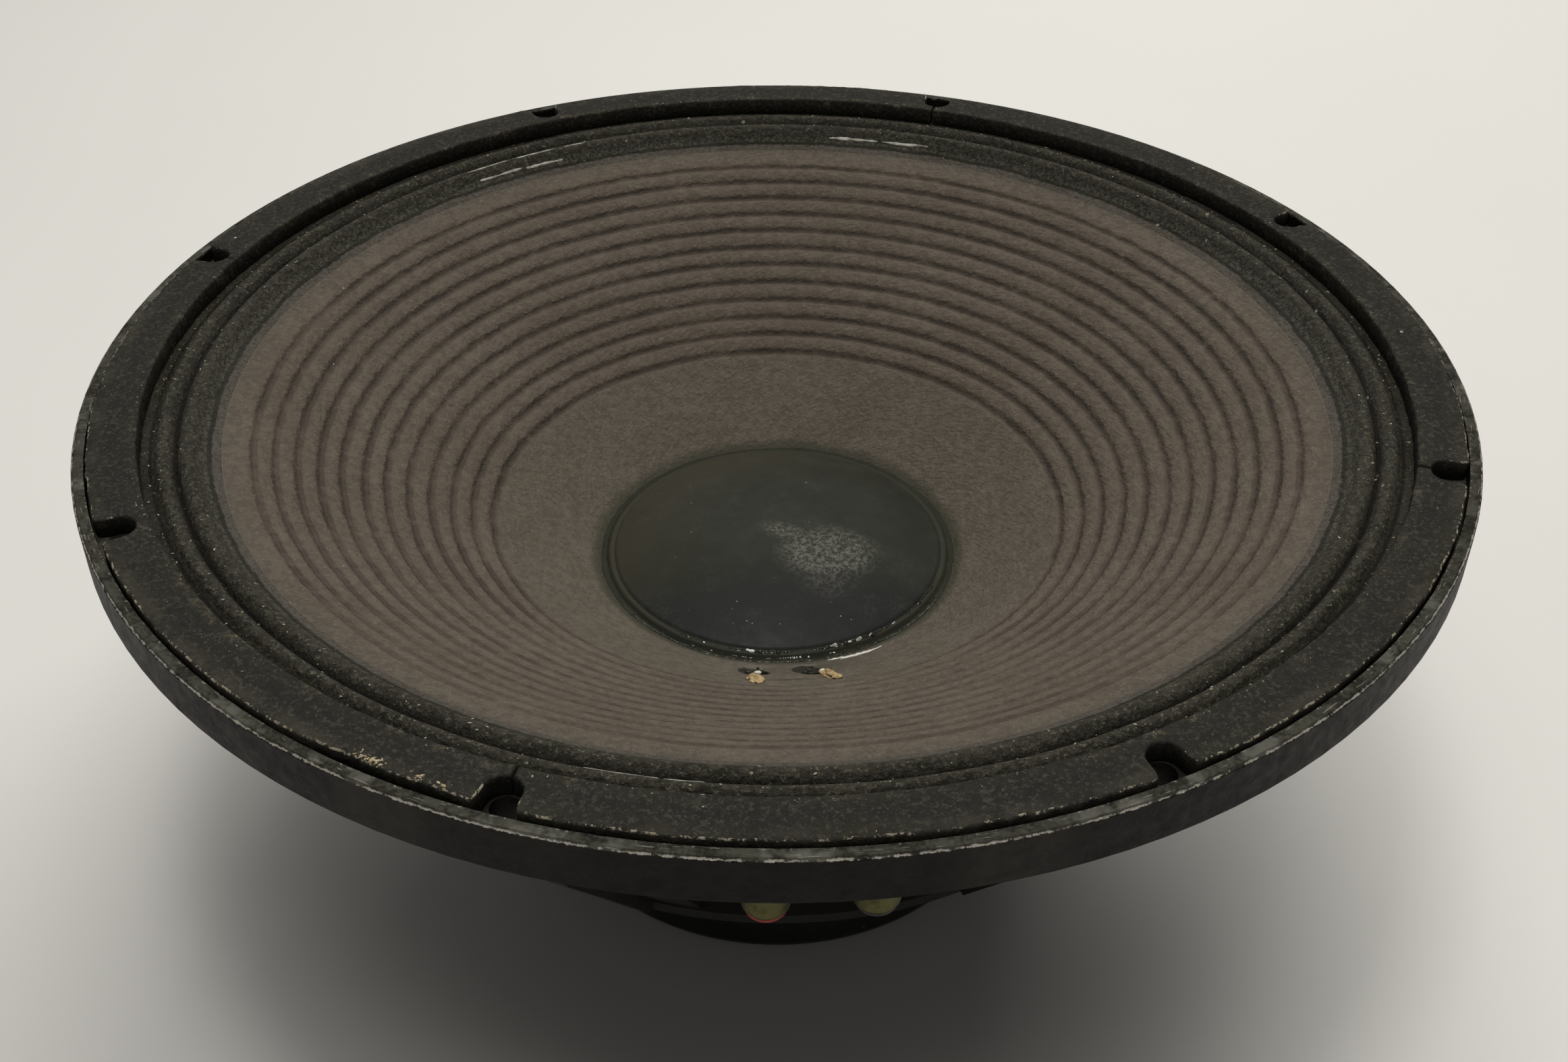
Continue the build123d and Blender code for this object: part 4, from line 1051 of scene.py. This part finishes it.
# Flat lead-out wires lie under a skin of adhesive from the cap to each eyelet.
lead_m = mat_plain("lead_out_skin", (0.034, 0.032, 0.023), (0.058, 0.051, 0.039), 0.85)
for i, (ang, er) in enumerate(EYES):
    s = streak(f"lead_out_{i}", [(ang, 55.2), (ang + 0.5 * (1 if i else -1), 58.6), (ang, 62.6)], 1.5, 0.10, 60 + i, lead_m)
    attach(s, "diaphragm")
    if i == 0:
        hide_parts("coil_lead_outs")

# ------------------------------------------------------------------ gasket, four strips cut with notches
def gasket(name, start_deg, seed, mat):
    """Outline followed round: outer edge with notches, then the inner edge back."""
    rnd = random.Random(seed)
    outer, inner = [], []
    r_out, r_in = 190.45, 177.5
    joints = (start_deg, start_deg + 90)
    gap = 0.28
    a0 = math.radians(start_deg) + gap / 184
    a1 = math.radians(start_deg + 90) - gap / 184
    cents = [math.radians(start_deg + q) for q in (0, 45, 90)]

    def notch_r(s):
        s = abs(s)
        if s < 4.35:
            return 185.2 - math.sqrt(max(0.0, 4.35 ** 2 - s ** 2)) * 0.96
        if s < 5.9:
            t = (s - 4.35) / 1.55
            return 185.2 + (r_out - 185.2) * (1 - (1 - t) ** 2.4) ** (1 / 2.4)
        return r_out

    th = []
    t = a0
    while t < a1:
        th.append(t)
        s = min(abs(t - c) for c in cents) * 186
        t += (0.12 if 3.9 < s < 5.2 else 0.3 if s < 6.5 else 0.62) / 186
    th.append(a1)
    jig = [rnd.uniform(0, TAU) for _ in range(6)]
    for t in th:
        s = min((t - c for c in cents), key=abs) * 186
        wav = 0.10 * math.sin(t * 47 + jig[0]) + 0.07 * math.sin(t * 131 + jig[1]) + 0.16 * mn.noise(Vector((t * 150, seed, 0))) + 0.13 * mn.noise(Vector((t * 420, seed, 3)))
        # One stretch is torn, and has pulled away from the lip.
        deg = (math.degrees(t) + 180) % 360 - 180
        torn = max(0.0, min(1.0, (deg + 128.5) / 5.0, (-113.8 - deg) / 3.0))
        wav -= torn * (0.9 + 0.5 * mn.noise(Vector((t * 90, 7, 0))) + 0.35 * mn.noise(Vector((t * 330, 7, 1))))
        wav += 0.22 * mn.noise(Vector((t * 60, seed, 9)))
        outer.append(((notch_r(s) + max(-2.4, min(wav, 0.34)) * (1 if abs(s) > 6 else 0.5)), t))
    for t in th[::-1]:
        wav = 0.08 * math.sin(t * 53 + jig[2]) + 0.06 * math.sin(t * 149 + jig[3]) + 0.16 * mn.noise(Vector((t * 200, 0, seed))) + 0.08 * mn.noise(Vector((t * 520, 0, seed)))
        inner.append((r_in + wav, t))
    P = np.array([(r * math.cos(t), r * math.sin(t)) for r, t in outer + inner])
    n = len(P)
    tang = np.roll(P, -1, 0) - np.roll(P, 1, 0)
    tang /= np.linalg.norm(tang, axis=1)[:, None]
    nrm = np.stack([-tang[:, 1], tang[:, 0]], 1)             # points inward for a loop run anticlockwise
    area = 0.5 * np.sum(P[:, 0] * np.roll(P[:, 1], -1) - np.roll(P[:, 0], -1) * P[:, 1])
    if area < 0:
        nrm = -nrm
    m = len(outer)
    for a_, b_ in ((0, m), (m, n)):
        seg = nrm[a_:b_].copy()
        for _ in range(3):
            seg[1:-1] = (seg[:-2] + seg[1:-1] * 2 + seg[2:]) / 4
        nrm[a_:b_] = seg
    # The square corners at the segment's ends keep a diagonal.
    for i in (0, m - 1, m, n - 1):
        q = P[i] / np.linalg.norm(P[i])
        inward = -q if i < m else q
        along = np.array([-q[1], q[0]]) * (1 if i in (0, n - 1) else -1)
        nrm[i] = inward + along
    zt, zb = FZ + 1.6, FZ - 4.15
    layers = [(0.25, zb), (0.0, zb + 0.3), (0.0, zt - 0.80), (0.06, zt - 0.45), (0.20, zt - 0.18), (0.42, zt - 0.05), (0.70, zt)]
    verts, edge = [], []
    ev = [0.0, 0.0, 0.1, 0.8, 1.0, 1.0, 0.3]
    for (off, z), e in zip(layers, ev):
        Q = P + nrm * off
        for q in Q:
            a = math.atan2(q[1], q[0])
            lift = 0.10 * math.sin(a * 11 + jig[4]) + 0.06 * math.sin(a * 29 + jig[5]) + 0.09 * mn.noise(Vector((q[0] / 6, q[1] / 6, seed))) + 0.05 * mn.noise(Vector((q[0] / 1.7, q[1] / 1.7, seed)))
            verts.append((q[0], q[1], z + (lift if z > zb + 0.5 else 0)))
            edge.append(e)
    faces = []
    for l in range(len(layers) - 1):
        a, b = l * n, (l + 1) * n
        for i in range(n):
            j = (i + 1) % n
            faces.append((a + i, a + j, b + j, b + i))
    # Rows of quads across the face, from the outer edge to the inner.
    top0 = (len(layers) - 1) * n
    rows = [[top0 + i for i in range(m)]]
    for q in range(1, 7):
        row = []
        for i in range(m):
            a_, b_ = verts[top0 + i], verts[top0 + n - 1 - i]
            f = q / 7
            x_, y_ = a_[0] * (1 - f) + b_[0] * f, a_[1] * (1 - f) + b_[1] * f
            z_ = a_[2] * (1 - f) + b_[2] * f + 0.10 * mn.noise(Vector((x_ / 5, y_ / 5, seed))) + 0.05 * mn.noise(Vector((x_ / 1.6, y_ / 1.6, seed)))
            row.append(len(verts)); verts.append((x_, y_, z_)); edge.append(0.0)
        rows.append(row)
    rows.append([top0 + n - 1 - i for i in range(m)])
    for ra, rb in zip(rows[:-1], rows[1:]):
        for i in range(m - 1):
            faces.append((ra[i], ra[i + 1], rb[i + 1], rb[i]))
    # The end strips between the rows and the end edges, and the underside.
    faces.append(tuple(r_[0] for r_ in rows)); faces.append(tuple(r_[-1] for r_ in rows)[::-1])
    for i in range(m - 1):
        faces.append((i, n - 1 - i, n - 2 - i, i + 1))
    o = obj_from(name, np.array(verts) * MM, faces, mat, 50, {"edge": edge})
    return o


gasket_m = mat_gasket()
gasket_o = []
for k, key in enumerate("abcd"):
    g = gasket(f"gasket_strip_{key}", -22.5 + 90 * k, 70 + k, gasket_m)
    gasket_o.append(g)
    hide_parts(f"gasket_segment_{key}"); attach(g, "frame")

# ------------------------------------------------------------------ lint and crumbs
lint_m = mat_plain("lint", (0.16, 0.145, 0.105), (0.36, 0.335, 0.27), 0.85, 900, 0.3, 0.3)
flake_m = mat_plain("foam_flakes", (0.20, 0.15, 0.085), (0.42, 0.36, 0.25), 0.8, 700, 0.3, 0.3)


def crumbs(name, spots, seed, mat):
    """Irregular specks, given as (x, y, z, size) in millimetres, as one piece."""
    rnd = random.Random(seed)
    base = [(1, 0, 0), (-1, 0, 0), (0, 1, 0), (0, -1, 0), (0, 0, 1), (0, 0, -1), (0.6, 0.6, 0.6), (-0.6, -0.6, 0.6)]
    tri = None
    verts, faces = [], []
    for x, y, z, size in spots:
        bm = bmesh.new()
        a = rnd.uniform(0, TAU)
        lx, ly, lz = size * rnd.uniform(0.7, 1.6), size * rnd.uniform(0.4, 0.9), size * rnd.uniform(0.35, 0.6)
        for px, py, pz in base:
            px, py, pz = px * lx * rnd.uniform(0.6, 1.2), py * ly * rnd.uniform(0.6, 1.2), pz * lz * rnd.uniform(0.7, 1.2)
            bm.verts.new((x + px * math.cos(a) - py * math.sin(a), y + px * math.sin(a) + py * math.cos(a), z + pz))
        hull = bmesh.ops.convex_hull(bm, input=bm.verts)
        loose = [v for v in bm.verts if not v.link_faces]
        for v in loose:
            bm.verts.remove(v)
        bmesh.ops.recalc_face_normals(bm, faces=bm.faces)
        bm.verts.index_update()
        off = len(verts)
        verts.extend((v.co.x * MM, v.co.y * MM, v.co.z * MM) for v in bm.verts)
        faces.extend(tuple(off + v.index for v in f.verts) for f in bm.faces)
        bm.free()
    return obj_from(name, verts, faces, mat, 0)


def at(r, deg, z):
    return r * math.cos(math.radians(deg)), r * math.sin(math.radians(deg)), z


def surround_z(r):
    return float(np.interp(r, [q[0] for q in S_TOP][::-1], [Z(q[1]) for q in S_TOP][::-1]))


rnd = random.Random(5)
spots = []
for _ in range(760):
    r, a = rnd.choice([rnd.gauss(166.0, 1.6), rnd.gauss(171.6, 1.3), rnd.gauss(175.8, 0.7)]), rnd.uniform(-180, 180)
    r = min(176.9, max(161.0, r))
    size = 0.16 + 0.42 * rnd.random() ** 3
    x, y, z = at(r, a, surround_z(r))
    spots.append((x, y, on_surround(x, y, z) + size * 0.10, size))
o = crumbs("surround_lint", spots, 6, lint_m)
r, co = radii(o)
w = np.clip((174.2 - r) / (174.2 - 161.0), 0, 1)
set_blend(o)
on_gasket = lands_on(*gasket_o)
# Crumbs of the foam along its inner edge, and torn tan flakes on one stretch outside.
spots = []
for _ in range(420):
    a = rnd.uniform(-180, 180)
    if mn.noise(Vector((a * 0.09, 3.0, 0))) < -0.05:
        continue
    r = 178.2 + abs(rnd.gauss(0, 0.7))
    size = 0.12 + 0.26 * rnd.random() ** 3
    x, y, z = at(r, a, FZ + 1.6)
    spots.append((x, y, on_gasket(x, y, z) + 0.02, size))
for _ in range(90):
    a, r = rnd.uniform(-180, 180), rnd.uniform(179, 189.0)
    x, y, z = at(r, a, FZ + 1.6)
    z = on_gasket(x, y, -1.0)
    if z > FZ + 1.0:
        spots.append((x, y, z + 0.02, 0.12 + 0.2 * rnd.random() ** 2))
o = crumbs("gasket_crumbs", spots, 7, lint_m)
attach(o, "frame")
spots = []
for n in range(44):
    a = rnd.gauss(-121.8, 0.8) if n < 30 else rnd.gauss(-117.8, 0.9)
    r = rnd.gauss(188.3, 0.55)
    r = min(189.4, r)
    x, y, z = at(r, a, FZ + 1.45)
    z = on_gasket(x, y, -1.0)
    if z > FZ + 0.8:
        spots.append((x, y, z, 0.22 + 0.65 * rnd.random() ** 2))
o = crumbs("gasket_torn_flakes", spots, 8, flake_m)
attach(o, "frame")


def cap_top(r):
    return cap0 - (RC - CAP_H) + math.sqrt(RC * RC - r * r)


spots = []
for _ in range(26):
    x, y = rnd.uniform(-34, 34), rnd.uniform(-46, 20)
    r = math.hypot(x, y)
    if r > 47:
        continue
    size = 0.10 + 0.22 * rnd.random() ** 2
    spots.append((x, y, on_cap(x, y, cap_top(r)), size))
for x, y in ((-14.5, -33.5), (-12.0, -40.5), (-10.5, -41.5), (-2.5, -42.5), (15.5, -40.0), (18.5, -41.0)):
    spots.append((x, y, on_cap(x, y, cap_top(math.hypot(x, y))), 0.40))
o = crumbs("cap_dust", spots, 9, lint_m)
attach(o, "diaphragm")

# ------------------------------------------------------------------ spider
def build_spider():
    pts = [(51.35, Z(80.8)), (51.9, Z(80.9)), (52.4, Z(82.6)), (53.4, Z(84.0)), (54.9, Z(84.2))]
    r, up_ = 56.5, True
    while r < 84:
        pts.append((r, Z(84.0 - (1.9 if up_ else -0.55))))
        r += 2.6; up_ = not up_
    pts += [(85.6, Z(84.45)), (88.0, Z(84.5)), (92.8, Z(84.5))]
    top = smooth_line(pts, 0.45)
    bot = offset_line(top, 0.42)
    loop = np.concatenate([top, bot[::-1]])
    o = lathe("spider_cloth", loop, 240, mat_spider(), sharp=70)
    r, co = radii(o)
    set_blend(o)
    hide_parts("spider")


build_spider()

# ------------------------------------------------------------------ terminals' springs, and the tinsel leads
TERM_R, TERM_HALF, PAD_DROP, PAD_T = 145.0, 13.7, 42.4, 4.0
T0 = Z(PAD_DROP)
spring_m = mat_metal("spring_steel", (0.42, 0.42, 0.40), (0.60, 0.60, 0.58), 0.3)
tinsel_m = mat_tinsel()
z_eye = float(cone_z(65.0))
for colour, x, ang in (("red", -TERM_HALF, EYES[0][0]), ("black", TERM_HALF, EYES[1][0])):
    y = -TERM_R
    lo, hi, turns, cr, wr = T0 - 11.7, T0 - 3.75, 5.0, 3.75, 0.35
    N, K = 200, 10
    verts, faces = [], []
    for i in range(N + 1):
        t = i / N
        a = turns * TAU * t
        # Closed ends: the pitch eases off at both.
        e = t + 0.045 * math.sin(TAU * t) * -1
        c = Vector((cr * math.cos(a), cr * math.sin(a), lo + 0.35 + (hi - lo - 0.7) * e))
        tg = Vector((-math.sin(a), math.cos(a), (hi - lo) / (turns * TAU * cr))).normalized()
        rad = Vector((math.cos(a), math.sin(a), 0))
        bi = tg.cross(rad)
        for q in range(K):
            u = TAU * q / K
            p = c + (rad * math.cos(u) + bi * math.sin(u)) * wr
            verts.append(((x + p.x) * MM, (y + p.y) * MM, p.z * MM))
    for i in range(N):
        for q in range(K):
            faces.append((i * K + q, i * K + (q + 1) % K, (i + 1) * K + (q + 1) % K, (i + 1) * K + q))
    faces.append(tuple(range(K))); faces.append(tuple(N * K + q for q in range(K))[::-1])
    o = obj_from(f"push_spring_{colour}", verts, faces, spring_m, 0)
    set_blend(o)
    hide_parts(f"terminal_spring_{colour}")

    ex, ey = 65.0 * math.cos(math.radians(ang)), 65.0 * math.sin(math.radians(ang))
    z0 = z_eye
    route = [(x, -TERM_R + 10.4, T0 + PAD_T + 3.6), (x, -TERM_R + 13.2, T0 - 0.5), (x * 1.03, -TERM_R + 18.5, T0 - 9.5), (x * 0.98, -TERM_R + 31.0, T0 - 17.0),
             (x * 0.88, -TERM_R + 46.5, T0 - 21.0), (x * 0.77, -TERM_R + 62.0, T0 - 27.0), (ex, ey - 5.5, z0 - 14.0), (ex, ey, z0 - 4.4)]
    cu = bpy.data.curves.new(f"lead_route_{colour}", "CURVE")
    cu.dimensions = "3D"
    sp = cu.splines.new("NURBS")
    sp.points.add(len(route) - 1)
    for p, q in zip(sp.points, route):
        p.co = (q[0] * MM, q[1] * MM, q[2] * MM, 1.0)
    sp.order_u = 3
    sp.use_endpoint_u = True
    sp.resolution_u = 16
    tmp = bpy.data.objects.new(f"lead_route_{colour}", cu)
    bpy.context.scene.collection.objects.link(tmp)
    bpy.context.view_layer.update()
    me = bpy.data.meshes.new_from_object(tmp.evaluated_get(bpy.context.evaluated_depsgraph_get()))
    line = [Vector(v.co) for v in me.vertices]
    bpy.data.objects.remove(tmp); bpy.data.meshes.remove(me)
    K = 14
    verts, faces, uv = [], [], []
    length = [0.0]
    for a, b in zip(line[:-1], line[1:]):
        length.append(length[-1] + (b - a).length)
    ref = Vector((1, 0, 0))
    for i, c in enumerate(line):
        tg = (line[min(len(line) - 1, i + 1)] - line[max(0, i - 1)]).normalized()
        e1 = (ref - tg * ref.dot(tg)).normalized()
        ref = e1
        e2 = tg.cross(e1)
        for q in range(K):
            u = TAU * q / K
            verts.append(c + (e1 * math.cos(u) + e2 * math.sin(u)) * 0.0008)
    for i in range(len(line) - 1):
        for q in range(K):
            faces.append((i * K + q, i * K + (q + 1) % K, (i + 1) * K + (q + 1) % K, (i + 1) * K + q))
            uv.append(((length[i], q / K), (length[i], (q + 1) / K), (length[i + 1], (q + 1) / K), (length[i + 1], q / K)))
    ends = [tuple(range(K)), tuple((len(line) - 1) * K + q for q in range(K))[::-1]]
    me = bpy.data.meshes.new(f"braided_lead_{colour}")
    me.from_pydata([tuple(v) for v in verts], [], faces + ends)
    lay = me.uv_layers.new(name="UVMap")
    k = 0
    for fi, p in enumerate(me.polygons):
        for li, l in enumerate(p.loop_indices):
            lay.data[l].uv = (uv[fi][li][0] * 1000 / 40, uv[fi][li][1]) if fi < len(uv) else (0, 0)
    me.polygons.foreach_set("use_smooth", [True] * len(me.polygons))
    me.materials.append(tinsel_m)
    o = bpy.data.objects.new(f"braided_lead_{colour}", me)
    bpy.context.scene.collection.objects.link(o)
    L = np.repeat(np.array(length) / length[-1], K)
    w = np.clip((L - 0.12) / 0.8, 0, 1)
    set_blend(o)
    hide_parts(f"tinsel_lead_{colour}")

# ------------------------------------------------------------------ terminal sleeves and tips
nickel = mat_metal("terminal_nickel", (0.072, 0.070, 0.024), (0.185, 0.172, 0.080), 0.38, tarnish=0.6, scale=330)
tips = {"red": mat_plain("tip_red", (0.30, 0.016, 0.010), (0.44, 0.034, 0.018), 0.3), "black": mat_plain("tip_black", (0.010, 0.010, 0.010), (0.020, 0.020, 0.020), 0.3)}


def turned(name, loop, x, y, mat, segs=96, sharp=35):
    """A closed outline of (r, drop below the pad's face) turned about a vertical line through (x, y)."""
    o = lathe(name, [(r, T0 - d) for r, d in loop], segs, mat, sharp=sharp)
    for v in o.data.vertices:
        v.co.x += x * MM; v.co.y += y * MM
    return o


def drill(o, x, y, z, r, length):
    """Cuts a round hole along X through a piece."""
    bm = bmesh.new()
    bmesh.ops.create_cone(bm, cap_ends=True, segments=40, radius1=r * MM, radius2=r * MM, depth=length * MM,
                          matrix=Matrix.Translation((x * MM, y * MM, z * MM)) @ Matrix.Rotation(math.pi / 2, 4, "Y"))
    me = bpy.data.meshes.new("drill"); bm.to_mesh(me); bm.free()
    cut = bpy.data.objects.new("drill", me)
    bpy.context.scene.collection.objects.link(cut)
    md = o.modifiers.new("hole", "BOOLEAN")
    md.operation, md.solver, md.object = "DIFFERENCE", "EXACT", cut
    bpy.context.view_layer.update()
    new = bpy.data.meshes.new_from_object(o.evaluated_get(bpy.context.evaluated_depsgraph_get()))
    o.modifiers.clear()
    old = o.data
    o.data = new
    new.name = o.name
    bpy.data.objects.remove(cut); bpy.data.meshes.remove(me); bpy.data.meshes.remove(old)
    o.data.set_sharp_from_angle(angle=math.radians(35))


for colour, x in (("red", -TERM_HALF), ("black", TERM_HALF)):
    def arc_pts(cr, cd, rad, a0, a1, n=7):
        return [(cr + rad * math.cos(math.radians(a0 + (a1 - a0) * i / (n - 1))), cd + rad * math.sin(math.radians(a0 + (a1 - a0) * i / (n - 1)))) for i in range(n)]

    # Outside from the open rim down, round the closed end, and back up the bore.
    loop = [(5.05, 7.4)] + arc_pts(5.85, 7.75, 0.35, -90, 0, 4) + [(6.2, 9.0), (6.2, 10.2), (6.02, 10.5), (6.02, 10.9), (6.2, 11.2), (6.2, 14.0), (6.2, 18.0), (6.2, 21.8)]
    loop += arc_pts(4.9, 24.0, 1.3, 0, 84, 9) + [(4.3, 25.32), (4.15, 25.2), (4.12, 23.62), (4.9, 23.58), (4.9, 13.25), (2.42, 13.2), (2.42, 12.0), (4.9, 11.95), (4.9, 7.6)]
    sl = turned(f"push_sleeve_{colour}", loop, x, -TERM_R, nickel)
    drill(sl, x, -TERM_R, T0 - 18.9, 1.2, 16)
    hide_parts(f"terminal_sleeve_{colour}"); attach(sl, f"{colour}_button")
    tl = [(0.02, 23.8), (3.9, 23.8), (4.05, 23.95), (4.05, 25.36), (5.20, 25.38), (5.38, 25.55)] + arc_pts(4.84, 26.05, 0.60, 0, 90, 8) + [(3.2, 26.65), (2.6, 26.45), (0.02, 26.4)]
    tp = turned(f"push_tip_{colour}", tl, x, -TERM_R, tips[colour])
    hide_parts(f"terminal_tip_{colour}"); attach(tp, f"{colour}_button")

# ------------------------------------------------------------------ materials for the CAD nodes that stay
steel = mat_metal("turned_steel", (0.30, 0.30, 0.29), (0.48, 0.47, 0.46), 0.35, turned=True)
KEEP = {
    "basket_frame": mat_frame(), "magnet_pot": mat_black_paint("pot_paint", 0.38), "top_plate": mat_black_paint("plate_paint", 0.45),
    "pole_piece": steel, "magnet_slug": mat_metal("magnet_alloy", (0.16, 0.16, 0.16), (0.26, 0.26, 0.26), 0.5),
    "frame_screws": mat_metal("zinc_screws", (0.34, 0.33, 0.28), (0.50, 0.48, 0.42), 0.38),
    "voice_coil_former": mat_plain("former_film", (0.46, 0.20, 0.035), (0.56, 0.27, 0.06), 0.25, 200, 0.1),
    "voice_coil_winding": mat_metal("winding_ribbon", (0.50, 0.40, 0.28), (0.66, 0.56, 0.42), 0.3, turned=True),
    "lead_eyelets": brass, "terminal_retaining_rings": nickel,
}
for c in ("red", "black"):
    for p in ("post", "lug", "nut"):
        KEEP[f"terminal_{p}_{c}"] = nickel
    KEEP[f"terminal_insulators_{c}"] = mat_plain(f"fibre_{c}", (0.016, 0.016, 0.016), (0.035, 0.033, 0.030), 0.6)
for node, m in KEEP.items():
    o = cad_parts[node]
    for s in range(len(o.data.materials)):
        o.data.materials[s] = m

# ------------------------------------------------------------------ floor, lights
fm = bpy.data.meshes.new("floor")
fm.from_pydata([(-6, -6, 0), (6, -6, 0), (6, 6, 0), (-6, 6, 0)], [], [(0, 1, 2, 3)])
fm.materials.append(mat_floor())
floor = bpy.data.objects.new("floor", fm)
bpy.context.scene.collection.objects.link(floor)
floor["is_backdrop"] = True

world = bpy.data.worlds.new("studio")
bpy.context.scene.world = world
world.use_nodes = True
wn = world.node_tree
bg = wn.nodes["Background"]
bg.inputs[0].default_value = (1.0, 0.985, 0.95, 1)
bg.inputs[1].default_value = 0.15


def area(name, loc_, target, size, power, color=(1, 1, 1), size_y=None):
    ld = bpy.data.lights.new(name, "AREA")
    ld.energy, ld.size, ld.color = power, size, color
    if size_y:
        ld.shape, ld.size_y = "RECTANGLE", size_y
    lo_ = bpy.data.objects.new(name, ld)
    lo_.location = loc_
    lo_.rotation_euler = (Vector(target) - Vector(loc_)).to_track_quat("-Z", "Y").to_euler()
    bpy.context.scene.collection.objects.link(lo_)
    return lo_


key = area("key", (0.50, 1.15, 1.65), (0, 0, 0.1), 1.5, 39, (1.0, 0.985, 0.945))
key.visible_glossy = False
top = area("top", (-0.1, -0.35, 2.0), (0, 0, 0.1), 1.2, 20, (1.0, 0.985, 0.955))
top.visible_glossy = False
area("overhead", (-0.12, -0.22, 1.7), (0, 0, 0.1), 0.30, 7, (1.0, 0.985, 0.96))
area("back_panel", (0.0, 2.6, 1.3), (0, 0, 0.15), 1.6, 6, (1.0, 0.99, 0.97))
bpy.context.scene.view_settings.view_transform = "Standard"
bpy.context.scene.view_settings.look = "None"

lo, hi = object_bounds()
